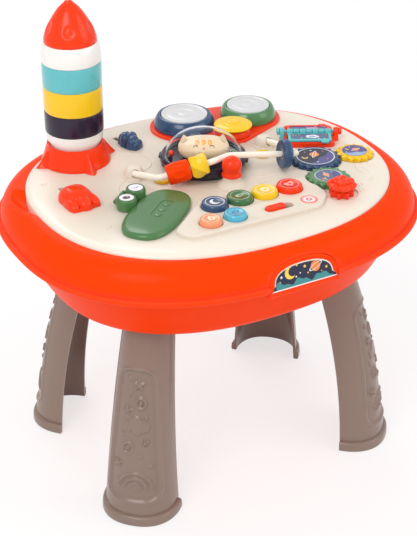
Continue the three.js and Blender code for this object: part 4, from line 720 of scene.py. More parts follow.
def hole(x, y, radius, low, high, ease=0.8, sides=64):
    line = [(0, low), (radius, low), (radius, high - ease), (radius + ease * 0.3, high - ease * 0.3)]
    line += [(radius + ease, high), (radius + ease, high + 4), (0, high + 4)]
    return place(turned(line, sides), x, y)


def creamSkin():
    # the middle of the panel is finely textured and a little darker than its smooth outer band; the fine
    # texture and rougher finish are the moulding's own, while the darker middle is painted shade and the
    # lighter outer band is painted light
    tree = newTree("panelCream")
    spot = tree.add("ShaderNodeTexCoord", out="Object")
    x = tree.add("ShaderNodeSeparateXYZ", None, {"Vector": spot}) / (panel["half"] * mm)
    y = tree.add("ShaderNodeSeparateXYZ", None, {"Vector": spot}, out=1) / (panel["wide"] * mm)
    reach = x.op("ABSOLUTE", x) ** panel["squareness"] + y.op("ABSOLUTE", y) ** panel["squareness"]
    # band rises from the middle out to the panel's edge; it carries the painted light on the outer band as
    # well as the real smoother, glossier finish there
    band = tree.rise(reach, 0.52, 0.86, interpolation_type="SMOOTHSTEP")
    cloud = tree.noise(14.0, 4.0, 0.6)
    specks = tree.noise(900.0, 2.0)
    # painted shade in the middle (E6DACB) and painted light on the outer band (F5EBDD)
    base = tree.blend(band, shade("E6DACB"), shade("F5EBDD"))
    color = tree.blend(cloud * 0.5, base, shade("E2D5C3"))
    scuff = tree.rise(tree.noise(46.0, 6.0, 0.7, (1.0, 4.0, 1.0)), 0.54, 0.8, 0.14)
    relief = tree.bump(specks * (1.1 - band * 0.8) + cloud, 0.4, 0.00012)
    return tree.skin(Base_Color=color, Roughness=0.5 - band * 0.16 + scuff, Normal=relief,
                     Coat_Weight=band * 0.18 + 0.04, Coat_Roughness=0.12)


finish("panelCream", creamSkin(), "cream_plastic")


def makePanel():
    edge = [(inset * panel["round"], panel["top"] - panel["edgeRise"] * (1 - rise))
            for inset, rise in smooth(panel["edge"], 4)]
    skirt = [(16.8, 328.2), (2.8, 323.2), (2.8, 312.0), (0.6, 312.0), (0, 312.6)]
    deck = roundCorners(plateau["corners"], plateau["corner"])
    joins = [pillow(deck, 328.5, plateau["top"], plateau["edge"])]
    postLine = smooth([(10.6, 330), (10.6, 335), (9.8, 338.5), (7.6, 341.6), (4, 342.7), (0, 343)], 5)
    for line in (postLine, [(12.9, 330), (12.9, 332), (12.2, 332.6), (0, 332.6)]):
        joins += [place(turned([(0, 330)] + line, 48), x, y) for x, y in posts]
    flank = smooth([(15.9, 331.4), (15, 332.8), (11.8, 334.9), (9.8, 337), (9.45, 340), (9.3, 342.4)], 5)
    joins.append(onCone(turned([(0, 330), (16, 330)] + flank + [(8.8, 343), (0, 343)], 56)))
    joins.append(atFrog(loft([ovalRing(frog, inset, z, 96) for inset, z in ((6, 315), (4, 328.5))])))
    hingeX, hingeY, hingeZ = frog["hinge"]
    joins.append(atFrog(place(prism(rectangle(6, 5), 330, hingeZ), hingeX, hingeY)))
    cuts = [hole(g["x"], g["y"], g.get("room", toothSize * g["teeth"] + gearRoom), *pocket, 0.5, 96)
            for g in gears.values()]
    well = [(10, 317), (8.6, 318), (8, 320), (8, 331.5)]
    cuts.append(atFrog(loft([ovalRing(frog, inset, z, 96) for inset, z in well])))
    cuts.append(onCone(hole(0, 0, coneMouth, underDeck, 343, 0.7, 48)))
    cuts += [hole(x, y, r + buttonPlay, underDeck, plateau["top"], 0.7, 72) for _, x, y, r, *_ in buttons]
    slot, mouth = pill(32.5, 11), pill(33.5, 12)
    slotRings = [level(slot, underDeck), level(slot, 334.5), level(mouth, 335), level(mouth, 337)]
    cuts.append(place(loft(slotRings), switch["slotX"], switch["y"]))
    for s in sliders.values():
        slot = softBox(6, s["travel"] + s["stem"] + 1, 1, 8)
        slot = [(x, y + s["along"] + s["travel"] / 2) for x, y in slot]
        cuts.append(place(prism(slot, underDeck, 333), s["x"], s["y"], 0, radians(s["turn"])))
    for spot, aim in [((-77, 27, 337.6), (11.4, -34.4, 6.2)), ((90.5, 28, 338), (4.5, -25, 3.5))]:
        aim = Vector(aim).normalized()
        cuts.append(rod([Vector(spot) + aim * d for d in (-0.5, 20)], railSeat, 28))
    shell = loft([ovalRing(panel, *spot) for spot in skirt + edge])
    make("panelShell", shell, "panelCream", "panel", "panel", cuts, joins, 36)
    stub = turned([(0, 328.6), (3.7, 328.6), (3.7, 332.3), (3.2, 332.6), (0, 332.6)], 32)
    make("gearStubs", gather(*[place(stub, g["x"], g["y"]) for g in gears.values()]), "cream", "panel")


# Lines moulded on the panel, each a half-sunk bead
def makeReliefs():
    def ridge(name, points, radius=0.7, steps=10, z=331.0):
        line = [(x, y, z) for x, y in smooth(points, steps)]
        taper = lambda t: min(1.0, 6 * t + 0.15, 6 * (1 - t) + 0.15)
        make(name, rod(line, radius, 12, taper), "panelCream", "panel")

    ridge("contourBack", [(-62, 98), (-47, 80), (-41, 62), (-47, 47), (-58, 40), (-64, 37)])
    ridge("contourFront", [(-84, 30), (-96, 22), (-104, 9), (-106, 1)])
    ridge("contourInner", [(-56, 92), (-43, 76), (-38.5, 60), (-42, 48)], 0.45)
    for i, (x, y, reach) in enumerate([(30, -33, 12), (33, -41, 14), (36, -49, 12)]):
        ridge("streak%d" % (i + 1), [(x, y), (x + reach, y + 2), (x + 2 * reach, y + 1)], 1.1, z=331.1)
    for i, (x, y, size) in enumerate([(151, -73, 14), (167, -69, 7.5)]):
        hull = [(-0.25, -1), (-0.3, 0), (0, 1), (0.3, 0), (0.25, -1)]
        ridge("embossRocket%d" % (i + 1), [(x + px * size, y + py * size) for px, py in hull], 0.8, 6)
    star = starShape(5, 4.2, 1.9)
    for i, (x, y) in enumerate([(145, -97), (128, -103), (122, -116), (-168, 62), (-150, -60)]):
        ridge("embossStar%d" % (i + 1), [(x + px, y + py) for px, py in star + star[:1]], 0.6, 1)


makePanel()
makeReliefs()
print("panel made")


# Rocket: base with four fins, and the hollow pieces stacked on it. The lines are shares of
# the radius and of each piece's height.

rocket = {"x": -111.0, "y": 103.0, "radius": 32.2, "wall": 2.4, "spigot": 5.6, "coneTop": 22.5, "recess": 3.8,
          "gap": 0.3, "finRoot": 35.0, "finLean": 4.5, "finHigh": 19,
          "cone": [(1.19, 0), (1.18, 0.1), (1.12, 0.3), (1.04, 0.66), (0.975, 0.94), (0.96, 1)],
          "low": [(0.84, 0), (0.87, 0.2), (0.96, 0.55), (1, 1)],
          "high": [(1, 0.08), (1, 0.4), (0.975, 0.7), (0.93, 0.9), (0.888, 1)],
          "ring": [(0.985, 0), (0.995, 0.03), (1, 0.1), (1, 0.9), (0.995, 0.97), (0.985, 1)],
          "nose": [(0.888, 0.03), (0.87, 0.13), (0.76, 0.35), (0.58, 0.58), (0.38, 0.79), (0.2, 0.92)],
          "tip": [(0.165, 0.935), (0.15, 0.95), (0.14, 0.97), (0.1, 0.99), (0.05, 0.999)]}


def makeRocketBase():
    high = rocket["coneTop"]
    flank = scaled(rocket["cone"], rocket["radius"], high)
    profile = [(0, 0.2), (35.5, 0), (38.32, 0.0)] + flank[1:-1] + [(31.0, 21.9), (30.2, high), (29.4, high)]
    profile += [(28.8, 21.9), (28.8, 18.7), (0, 18.7)]
    rings = []
    for t in shares(12):
        tip = 1 if t < 0.95 else 0.7
        ring = oval((13 - 10 * t ** 0.8) * tip, (7.5 - 5.9 * t ** 0.75) * tip, 1.55, 0, 48)
        out, z = rocket["finRoot"] - rocket["finLean"] * t, rocket["finHigh"] * t
        rings.append([(x + out, y, z) for x, y in ring])
    move = mover(rocket["x"], rocket["y"], onTop)
    fins = [move(place(loft(rings), turn=a)) for a in around(4)]
    make("rocketFoot", move(turned(profile, 96)), "toyRed", "panel", "rocket_base", joins=fins, sharp=40)


# The profile of a hollow piece; all but the last have a spigot for the next one
def stackProfile(line, height, last):
    wall = rocket["wall"]
    outer = [(s * rocket["radius"], h * height) for s, h in line]
    inner = [(x - wall, z) for x, z in outer if z < height - 3.6]
    if last:
        return [(0, height - wall)] + inner[::-1] + outer + [(0, height)]
    brim, top = outer[-1][0], height + rocket["spigot"]
    neck, under = brim - wall - 1.0, height - wall
    inside = [(0, top - wall), (neck - wall, top - wall), (neck - wall, under), (brim - wall, under)]
    return inside + inner[::-1] + outer + [(neck, height), (neck, top - 0.8), (neck - 0.8, top), (0, top)]


# How far an angle is from the nearest of the spots that repeat by a step
def away(angle, spot, step):
    return (angle - spot + step / 2) % step - step / 2


def dimples(angle, z):
    return -1.3 * (1 - ramp(hypot(away(angle, 0.5, 2 * pi / 5) / 0.3, (z - 17) / 7.5), 0.55, 1.0))


def makeRocket():
    makeRocketBase()
    base = onTop + rocket["coneTop"] - rocket["recess"] + rocket["gap"]
    low = smooth(rocket["low"], 5)[:-1] + [(0.998, 0.96), (0.99, 1)]
    high = [(0.985, 0), (0.997, 0.03)] + smooth(rocket["high"], 5)
    nose = [(0.875, 0), (0.888, 0.015)] + smooth(rocket["nose"], 10) + rocket["tip"]
    stack = [("cupWhiteLow", "rocket_bottom_cup", "bottom_cup", low, 18.7, "white"),
             ("ringPurple", "ring_purple", "purple_ring", rocket["ring"], 23.8, "purple"),
             ("ringYellow", "ring_yellow", "yellow_ring", rocket["ring"], 27.5, "yellow"),
             ("ringTeal", "ring_teal", "teal_ring", rocket["ring"], 26.9, "teal"),
             ("cupWhiteTop", "rocket_top_cup", "top_cup", high, 21.6, "white"),
             ("noseRed", "nose_cone", "nose_cone", nose, 44.6, "toyRed")]
    for name, node, body, line, height, paint in stack:
        last = name == "noseRed"
        form = turned(stackProfile(line, height, last), 112, dimples if last else None)
        make(name, place(form, rocket["x"], rocket["y"], base), paint, body, node, sharp=40)
        base += height + rocket["gap"]


makeRocket()
print("rocket made")


# Drums and cymbal on their three-lobed plate

drums = {"height": 14.0, "plateTop": 334.3, "gap": 0.3, "padPlay": 0.6, "standHigh": 8,
         "lobes": [(34, 119, 40), (111.5, 106, 37.5), (71.5, 71.5, 22.3)],
         "wall": [(1, 0), (1, 0.3), (0.965, 0.62), (0.9, 0.9), (0.86, 1)],
         "foot": [(1, 0.2), (1, 0.45), (0.94, 0.8), (0.84, 1)], "footRadius": 19.8,
         "disc": [(0.62, 0), (0.88, 0.1), (0.97, 0.2), (1, 0.34), (0.97, 0.46), (0.86, 0.6), (0.66, 0.7),
                  (0.48, 0.745)],
         "bell": [(0.4, 0.78), (0.365, 0.86), (0.33, 0.95), (0.24, 1), (0.13, 1)], "discRadius": 22}


def makeDrum(colour, x, y, radius, pad, paint):
    high, base = drums["height"], drums["plateTop"] + drums["gap"]
    bore = pad + drums["padPlay"]
    profile = [(bore, 0), (radius - 0.8, 0), (radius - 0.2, 0.3), (radius, 0.9)]
    profile += scaled(drums["wall"], radius, high, 6)[1:-1]
    profile += [(0.868 * radius, high - 0.5), (0.85 * radius, high), (bore + 0.7, high), (bore, high - 0.7)]
    rings = [level(arc(r, r, around(112)), z) for r, z in profile]
    make("drum%sWall" % colour, place(loft(rings, loop=True), x, y, base), paint, "panel",
         "drum_%s_shell" % colour.lower(), sharp=44)
    line = [(0, 9), (pad, 9), (pad, 14.2)] + arc(1.2, 1.2, [0.4, 0.8, 1.2, 1.57], pad - 1.2, 14.2)
    line += [(pad - 4, 15.4), (pad - 4.8, 15.0), (pad - 5.6, 15.0), (pad - 6.4, 15.35), (9, 15.4),
             (8.2, 15.1), (7.4, 15.1), (6.6, 15.4), (0, 15.4)]
    make("drum%sSkin" % colour, place(turned(line, 96), x, y, base), "padWhite", "%s_pad" % colour.lower(),
         "drum_%s_pad" % colour.lower(), sharp=50)


def makeDrums():
    cloud = [Vector(p) for x, y, r in drums["lobes"] for p in arc(r, r, around(90), x, y)]
    centre = Vector((72, 102))
    ring = []
    for angle in around(200):
        aim = Vector((cos(angle), sin(angle)))
        spot = max(cloud, key=lambda p: (p - centre).dot(aim))
        if not ring or (Vector(ring[-1]) - spot).length > 0.5:
            ring.append(tuple(spot))
    make("drumPlate", pillow(ring, onTop, drums["plateTop"], 1.3), "toyRed", "panel", "drum_plate", sharp=40)
    makeDrum("Blue", 34, 119, 35, 26.8, "navy")
    makeDrum("Green", 111.5, 106, 32.5, 24.8, "green")
    high, base = drums["standHigh"], drums["plateTop"] + drums["gap"]
    foot = [(0, 0), (19, 0), (19.8, 0.8)] + scaled(drums["foot"], drums["footRadius"], high)
    foot += [(3, high), (3, 11.2), (0, 11.4)]
    x, y, _ = drums["lobes"][2]
    foot = place(turned(foot, 80), x, y, base)
    make("cymbalFoot", foot, "toyRed", "panel", "cymbal_stand")
    disc = [(0, 3.7), (3.5, 3.7), (3.5, 0)]
    for line in (drums["disc"], drums["bell"]):
        disc += scaled(line, drums["discRadius"], high, 4)
    disc += [(1.6, high), (1.2, 7.6), (0, 7.5)]
    disc = place(turned(disc, 96), x, y, base + high + drums["gap"])
    make("cymbalDisc", disc, "yellow", "cymbal", "cymbal", sharp=50)


makeDrums()
print("drums made")


# A printed disc with generic sky motifs: hills of colour, a ringed planet, a moon and stars
def skyPrint(name, body, x, y, z, radius, field, turn, rim, seed):
    spin = radians(turn)
    inner = radius * (0.95 if rim else 1.0)

    def motif(part, ring, paint, px=0.0, py=0.0, lift=0.18, tilt=0.0, thick=0.05):
        at = x + px * cos(spin) - py * sin(spin), y + px * sin(spin) + py * cos(spin)
        mark(name + part, ring, paint, body, *at, z + lift, tilt, thick)

    if rim:
        motif("Rim", circle(radius, 72), "paleInk", lift=-0.02, thick=0.08)
    motif("Field", circle(inner, 72), field, lift=0.04, thick=0.1)
    low, start = -0.35, asin(-0.35)
    bay = arc(inner * 0.985, inner * 0.985, [pi - start + (pi + 2 * start) * t for t in shares(28)])
    left, width = bay[-1][0], bay[0][0] - bay[-1][0]
    hills = [(left + width * k / 14, low * inner + inner * 0.07 * sin(k * 0.9 + seed)) for k in range(1, 14)]
    motif("Hills", bay + hills, "skyInk" if field == "violetInk" else "violetInk", lift=0.12, tilt=turn)
    px, py = 0.12 * inner, 0.16 * inner
    motif("Planet", circle(inner * 0.27, 36), "orangeInk", px, py)
    ring = arc(0.44 * inner, 0.1 * inner, around(40))
    ring += arc(0.36 * inner, 0.06 * inner, around(40, -2 * pi) + [-2 * pi])
    motif("Band", ring, "paleInk", px, py, 0.24, turn + 24)
    motif("Moon", crescent(inner * 0.17), "yellowInk", -0.52 * inner, 0.36 * inner, tilt=turn + 40)
    for i in range(6):
        angle, ink = 0.5 + seed + i * 2.4, "paleInk" if i % 2 else "roseInk"
        motif("Star%d" % (i + 1), starShape(5, inner * 0.07, inner * 0.032), ink,
              inner * 0.74 * cos(angle), inner * 0.74 * sin(angle), tilt=i * 31)


# Saucer: dark ring with grip tabs, clear dome, and a plain cat figure turning under it

saucer = {"x": 6.5, "y": 23.5, "tabs": 10, "tabReach": 45.1, "dish": 8.4,
          "flank": [(42.7, 0.0), (43.7, 1.4), (46.2, 4.4), (48.0, 6.8), (48.0, 9.2), (46.9, 11.8),
                    (45.6, 13.2)],
          "seat": [(44.9, 13.6), (43.2, 13.6), (42.6, 13.1), (42.6, 11.2), (40.4, 11.2), (40.4, 9.1),
                   (39.6, 8.4), (0, 8.4)]}
dome = {"radius": 42.3, "height": 29.0, "wall": 1.6, "base": 342.8}
cat = {"z": 340.0, "turn": radians(-28), "half": 28.0, "wide": 21.0, "high": 10.9, "lift": 11.4, "ball": 34.5}


def makeSaucer():
    x, y = saucer["x"], saucer["y"]
    move = mover(x, y, onTop)
    profile = [(0, 6.3), (5.5, 6.3), (5.5, 0)] + smooth(saucer["flank"], 4) + saucer["seat"]
    tab = place(pillow(softBox(9, 13, 2.2, 6), 6.4, 9.6, 1.0, 1.0, 4), saucer["tabReach"])
    tabs = [move(place(tab, turn=angle)) for angle in around(saucer["tabs"])]
    make("saucerRing", move(turned(profile, 120)), "purple", "saucer", "saucer_ring", joins=tabs, sharp=42)
    reach, high, wall = dome["radius"], dome["height"], dome["wall"]
    quarter = around(22, pi / 2)
    shell = [(0, high - wall)] + arc(reach - wall, high - wall, quarter)[::-1] + [(reach, 0.0), (reach, 0.9)]
    shell += arc(reach, high, quarter)[1:] + [(0, high)]
    shell = place(turned(shell, 120), x, y, dome["base"])
    make("saucerDome", shell, "clear", "saucer", "saucer_dome", sharp=60)
    line = [(0, -3.4), (1.7, -3), (2.9, -1.8), (3.5, 0), (2.9, 1.8), (1.7, 3), (0, 3.4)]
    bead = turned(line, 40, lambda angle, z: 0.12 * cos(10 * angle))
    for name, paint, side in (("rattleRed", "toyRed", -1), ("rattleGreen", "green", 1)):
        spot = Vector((cos(cat["turn"]), sin(cat["turn"]))) * cat["ball"] * side
        make(name, place(bead, x + spot.x, y + spot.y + 2, onTop + saucer["dish"] + 3.7), paint, "saucer")


def makeCat():
    half, wide, high, lift = cat["half"], cat["wide"], cat["high"], cat["lift"]
    move = mover(saucer["x"], saucer["y"], cat["z"], cat["turn"])
    rings = []
    for t in shares(32):
        a = -pi / 2 + pi * t
        z = lift + copysign(abs(sin(a)) ** 0.86, sin(a)) * high
        reach = max(cos(a), 0.01) ** (0.5 if a < 0 else 0.9)
        rings.append([(x, y - max(0.0, sin(a)), z) for x, y in oval(half * reach, wide * reach, 2.35, 0, 88)])
    neck = [level(oval(17 + 0.8 * sin(k), 15.5, 2.4, 0, 60), z) for k, z in enumerate((0, 3, 6, 9, 13))]
    ears, hollows, paws = [], [], []
    for side in (-1, 1):
        ear = [[(x * size + side * (18.6 + 2.6 * t), y * size + 1 + 0.6 * t, 12.0 + 13.2 * t)
                for x, y in oval(8.4, 4.8, 2.2, 0, 40)]
               for t, size in [(t, (1 - t) ** 0.85 + 0.08) for t in shares(10)]]
        hollow = [[(x * (1 - t) + side * (19.6 + 1.3 * t), y * (1 - t) * 0.8 - 4.4 + 4.4 * t, 17.0 + 6.6 * t)
                   for x, y in oval(4.6, 3.4, 2, 0, 28)] for t in (0.0, 0.25, 0.5, 0.75, 0.97)]
        ears.append(move(loft(ear)))
        hollows.append(move(loft(hollow)))
        paws.append(move(place(ball((5.2, 6.8, 4.2), 28), side * 12.5, -15.5, 4.2)))
    make("catHead", move(loft(rings)), "catCream", "saucer", "cat_figure", hollows,
         [move(loft(neck))] + ears + paws, 44)

    # a mark lying on the rounded face
    def onFace(name, ring, paint, faceX, faceY, thick=0.7):
        low = []
        for x, y in ring:
            x, y = x + faceX, y + faceY
            reach = (abs(x / half) ** 2.35 + abs((y + 0.9) / wide) ** 2.35) ** (1 / 2.35)
            low.append((x, y, lift + high * max(0.0, 1 - reach ** (2 / 0.9)) ** 0.43 - 0.5))
        make("cat" + name, move(loft([low, [(x, y, z + thick) for x, y, z in low]])), paint, "saucer")

    for i, x in enumerate((-6.8, 0.0, 6.8)):
        onFace("Spot%d" % (i + 1), oval(2.4, 4.6, 2.2, 0, 40), "catOrange", x, -9.5)
    halfTurn = [pi * t for t in shares(12)]
    for name, x in (("Left", -9), ("Right", 9)):
        lash = arc(2.6, 2.2, halfTurn, x) + arc(1.9, 1.5, halfTurn[::-1], x)
        onFace("Eye" + name, lash, "darkInk", 0, -16.4)
    onFace("Nose", oval(1.7, 0.9, 2, 0, 24), "roseInk", 0, -18.4)


# Joystick: a ball on a round cap that rocks over the cone's mouth

stick = {"pivot": 341.0, "cap": 10.1, "capEdge": 80, "shell": 11.3, "shellEnd": 60, "ball": 10.8,
         "ballStart": 122, "lift": 13.0}


def makeStick():
    def swing(radius, z, start, end, count):
        angles = [start + (end - start) * t for t in shares(count)]
        return [(radius * sin(a), z + radius * cos(a)) for a in angles]

    cap, shell, edge = stick["cap"], stick["shell"], radians(stick["capEdge"])
    profile = [(0, -4), (2.1, -4), (2.6, -3.5)] + swing(cap, 0, asin(2.6 / cap), edge, 8)
    profile += swing(shell - 0.35, 0, edge + 0.02, edge - 0.02, 1)
    profile += swing(shell, 0, edge - 0.06, radians(stick["shellEnd"]), 5) + [(9.55, 6.4), (9.5, 6.75)]
    profile += swing(stick["ball"], stick["lift"], radians(stick["ballStart"]), 0, 22)[1:]
    form = place(turned(profile, 72), z=stick["pivot"])
    make("joystickBall", onCone(form), "toyRed", "joystick", "joystick", sharp=38)


# Bead rail with its three beads, and the two lenses

rail = {"radius": 3.4, "bore": 4.1, "bend": 6.0,
        "corners": [(-77, 27, 337.6), (-65.6, -7.4, 343.8), (-9, -25, 357.8), (14, -18.6, 357.2),
                    (92, -34, 347.5), (95, 3, 341.5), (90.5, 28, 338)]}


# A closed line of a bead: its chamfered bore joined to the points of its outside
def beadLine(half, points):
    bore = rail["bore"]
    return [(bore, -half + 0.3), (bore + 0.5, -half)] + points + [(bore + 0.5, half), (bore, half - 0.3)]


# A bored bead on one straight stretch: its closed profile, and the radius that each angle has
def makeBead(colour, paint, profile, shape, stretch, share, count):
    rings = [[(shape(r, a, z) * cos(a), shape(r, a, z) * sin(a), z) for a in around(count)]
             for r, z in profile]
    start, end = Vector(rail["corners"][stretch]), Vector(rail["corners"][stretch + 1])
    turn = Vector((0, 0, 1)).rotation_difference((end - start).normalized()).to_matrix().to_4x4()
    form = place(loft(rings, loop=True), *start.lerp(end, share), 0, turn)
    make("bead" + colour.capitalize(), form, paint, colour + "_bead", "bead_" + colour, sharp=40)


def dented(r, a, z):
    dent = 1 - ramp(hypot(away(a, 0, pi / 3) * 11.6 / 3.9, z / 7.4), 0.45, 1.0)
    return r if r < 8 else r - 0.95 * dent


def twisted(r, a, z):
    flat = cos(pi / 5) / cos(away(a, 1.4 * z / 19, 2 * pi / 5))
    return r if r < 6 else r * (0.3 + 0.7 * flat) + 0.2


def notched(r, a, z):
    flat = cos(pi / 8) / cos(away(a, 0, pi / 4))
    return r if r < 14 else r * (0.25 + 0.75 * flat * 1.02) + 0.35 * cos(8 * a)


def makeRail():
    corners = [Vector(c) for c in rail["corners"]]
    line = corners[:1]
    for before, at, after in zip(corners, corners[1:], corners[2:]):
        reach = min(rail["bend"], (at - before).length * 0.45, (at - after).length * 0.45)
        start, end = at + (before - at).normalized() * reach, at + (after - at).normalized() * reach
        line += [bend(start, at, end, t) for t in shares(10)]
    make("railRod", rod(line + corners[-1:], rail["radius"], 28), "ivory", "panel", "bead_rail")
    barrel = [(10.9, -11), (11.2, -8), (11.5, -4.5), (11.6, 0), (11.5, 4.5), (11.2, 8), (10.9, 11)]
    barrel = [(9.6, -12.5), (10.4, -12.1)] + smooth(barrel, 6) + [(10.4, 12.1), (9.6, 12.5)]
    makeBead("orange", "tubRed", beadLine(12.5, barrel), dented, 1, 0.368, 120)
    knot = [(9.2, -9.5), (10.6, -9.1), (11.8, -7.6)]
    knot += smooth([(12.4, -6), (12.6, -2), (12.6, 2), (12.4, 6)], 5)
    knot += [(11.8, 7.6), (10.6, 9.1), (9.2, 9.5)]
    makeBead("yellow", "yellow", beadLine(9.5, knot), twisted, 1, 0.745, 120)
    face = [(16.4, 3.2), (15.7, 4.1), (14.9, 4.5), (13.2, 4.5), (12.6, 3.9), (9.4, 3.9), (8.8, 4.5),
            (5.0, 4.5), (rail["bore"], 4.0)]
    disc = [(r, -z) for r, z in face[::-1]] + [(16.5, -1.2), (16.5, 1.2)] + face
    makeBead("blue", "navy", disc, notched, 3, 0.808, 128)
    crown = [(0, -5), (7, -5), (7, 0), (9.4, 0), (9.6, 0.3), (9.6, 1.2), (9.3, 2.0), (8.6, 2.6), (7.6, 2.95),
             (7, 3.0), (6.4, 2.6), (0, 2.7)]
    lens = turned(crown, 96, lambda angle, z: -0.16 * (1 + cos(24 * angle)) * (1 if z > 0.5 else 0))
    for side, x, y in (("Left", -52, 8.5), ("Right", 74.5, 11.5)):
        make("lensAmber" + side, place(lens, x, y, onTop), "amber", "panel", "lens_" + side.lower(), sharp=36)


makeSaucer()
makeCat()
makeStick()
makeRail()
print("saucer, joystick and beads made")


# Flip book: a deep tray, a rod across it and two framed pages on knuckles

book = {"spineY": -2.9, "spineZ": 341.7, "sag": radians(4.4), "pitch": 7.2, "knuckle": 2.9, "page": 24.5,
        "root": 3.6, "reach": 21.0, "leaf": 2.5, "field": 0.8, "back": 2.1, "ear": 30.7, "capRadius": 4.2}
atBook = mover(143.2, 23.3, 0, radians(-28))


def makeTray():
    y, z = book["spineY"], book["spineZ"]
    mouth = softBox(49, 41, 4, 8)
    room = [(-1.5, 332.9), (-0.4, 333.4), (0, 335.2), (0, 336.6), (0.8, 337.6), (0.8, 340)]
    room = atBook(loft([level(offset(mouth, out) if out else mouth, high) for out, high in room]))
    bore = atBook(bar(1.9, 90, 0, y, z, 0.1, 24))
    ears = []
    for side in (-1, 1):
        foot = place(pillow(softBox(5.4, 9, 0.9, 5), onTop, z, 0.3, 0.3, 3), side * book["ear"], y)
        ears.append([atBook(foot), atBook(bar(4.5, 5.4, side * book["ear"], y, z, 0.6, 40))])
    tray = atBook(pillow(softBox(57, 49, 8, 8), onTop, 337.3, 1.5, 0.4, 6))
    make("bookTray", tray, "toyRed", "panel", "flip_tray", [room, bore], ears[1], 40)
    make("bookEarLeft", ears[0][0], "teal", "panel", "", [bore], ears[0][1:], 40)
    cap = atBook(bar(book["capRadius"], 3.6, -35.2, y, z, 1.3, 40))
    make("bookRod", atBook(bar(1.6, 71.4, 0, y, z)), "teal", "panel", "flip_rod", joins=[cap], sharp=40)
    make("bookRodCap", atBook(bar(book["capRadius"], 3.4, 35.3, y, z, 1.3, 40)), "toyRed", "panel")
    make("bookFloorPrint", atBook(prism(softBox(45, 37, 3, 6), 332.95, 333.05)), "nightInk", "panel")
    for i in range(14):
        x, y = 19.5 * sin(2.1 * i + 0.6), 15.0 * sin(3.7 * i + 1.9)
        shape = starShape(5, 1.3, 0.6) if i % 3 else circle(0.8 + 0.3 * (i % 2), 18)
        make("bookFloorStar%d" % (i + 1), atBook(place(prism(shape, 333.06, 333.12), x, y)),
             ("roseInk", "skyInk", "yellowInk")[i % 3], "panel")


def makePage(name, body, node, paint, first, field, cloudInk, cloudX):
    side = -1 if first else 1
    tilt = Matrix.Rotation(book["sag"] * side, 4, "X") @ Matrix.Rotation(pi * first, 4, "Z")

    def seat(parts):
        return atBook(place(parts, 0, book["spineY"], book["spineZ"], 0, tilt))

    def outline(margin, corner, steps):
        half, low, high = book["page"] - margin, margin - book["reach"], -book["root"] - margin / 2
        return roundCorners([(-half, low), (half, low), (half, high), (-half, high)], corner, steps)

    leaf = pillow(outline(0, 3.4, 8), -book["leaf"], 0, 0.7, 0.7, 4)
    tab = place(pillow(softBox(9, 8, 2.4, 6), -book["leaf"], 0, 0.7, 0.7, 4), 16.8 * side, -book["reach"])
    hollow = outline(3.2, 2.2, 6)
    rooms = [seat(prism(hollow, -book["field"], 1)), seat(prism(hollow, -4, -book["back"]))]
    bore = seat(bar(1.9, 60, 0, 0, 0, 0.1, 24))
    make(name, seat(leaf), paint, body, node, rooms, [seat(tab)], 40)
    for k, spot in enumerate(range(first, 7, 2)):
        x = (spot - 3) * book["pitch"]
        web = place(pillow(softBox(6.6, 4.8, 0.5), -2.4, -0.1, 0.2, 0.2, 3), x, -2.5)
        knuckle = seat(bar(book["knuckle"], 6.8, x, 0, 0, 0.9, 36))
        make("%sKnuckle%d" % (name, k + 1), knuckle, "teal", body, "", [bore], [seat(web)], 40)

    def picture(part, ring, ink, low, x=0.0, y=0.0, thick=0.05):
        make(name + part, seat(place(prism(ring, low, low + thick), x, y)), ink, body)

    printRing = outline(3.3, 2.1, 6)
    picture("Print", printRing, field, -0.8, thick=0.1)
    picture("BackPrint", printRing, "nightInk", -2.2, thick=0.1)
    cloud = [(x * (1 + 0.09 * cos(5 * a)), y * (1 + 0.09 * cos(5 * a)))
             for a, (x, y) in zip(around(60), arc(7.4, 3.6, around(60)))]
    picture("Cloud", cloud, cloudInk, -0.69, cloudX, -11.2)
    picture("CloudCore", [(x * 0.55, y * 0.5) for x, y in cloud], "skyInk", -0.63, cloudX, -11.6)
    for i in range(16):
        x, y = 19.3 * sin(1.7 * i + 0.4 + first), -11.5 + 5.2 * sin(3.1 * i + 1.2 + first)
        if abs(x - cloudX) >= 8.5 or abs(y + 11.3) >= 4.4:
            shape = circle(0.5 + 0.25 * (i % 3), 14) if i % 2 else starShape(4, 1.1, 0.4)
            ink = ("roseInk", "paleInk", "yellowInk", "tealInk")[i % 4]
            picture("Fleck%d" % (i + 1), shape, ink, -0.69, x, y)


# Gears: rounded lobes round a raised disc, each with a printed plate, and the flower knob

gearForm = {"inset": 0.35, "depth": 1.88, "steps": 18, "low": 329.3, "face": 335.0, "rim": 3.0,
            "print": 335.8}
# each tier of petals: count, reach, height, size, lean and first angle
flowerTiers = [(6, 8.6, 340.6, (7.9, 7.6, 4.3), 16, 0.2), (4, 4.9, 344.0, (6.2, 5.6, 4.1), 24, 0.9)]


def gearRing(gear):
    radius = toothSize * gear["teeth"] - gearForm["inset"]
    return wavy(radius, gearForm["depth"], gear["teeth"], gear["phase"], gearForm["steps"])


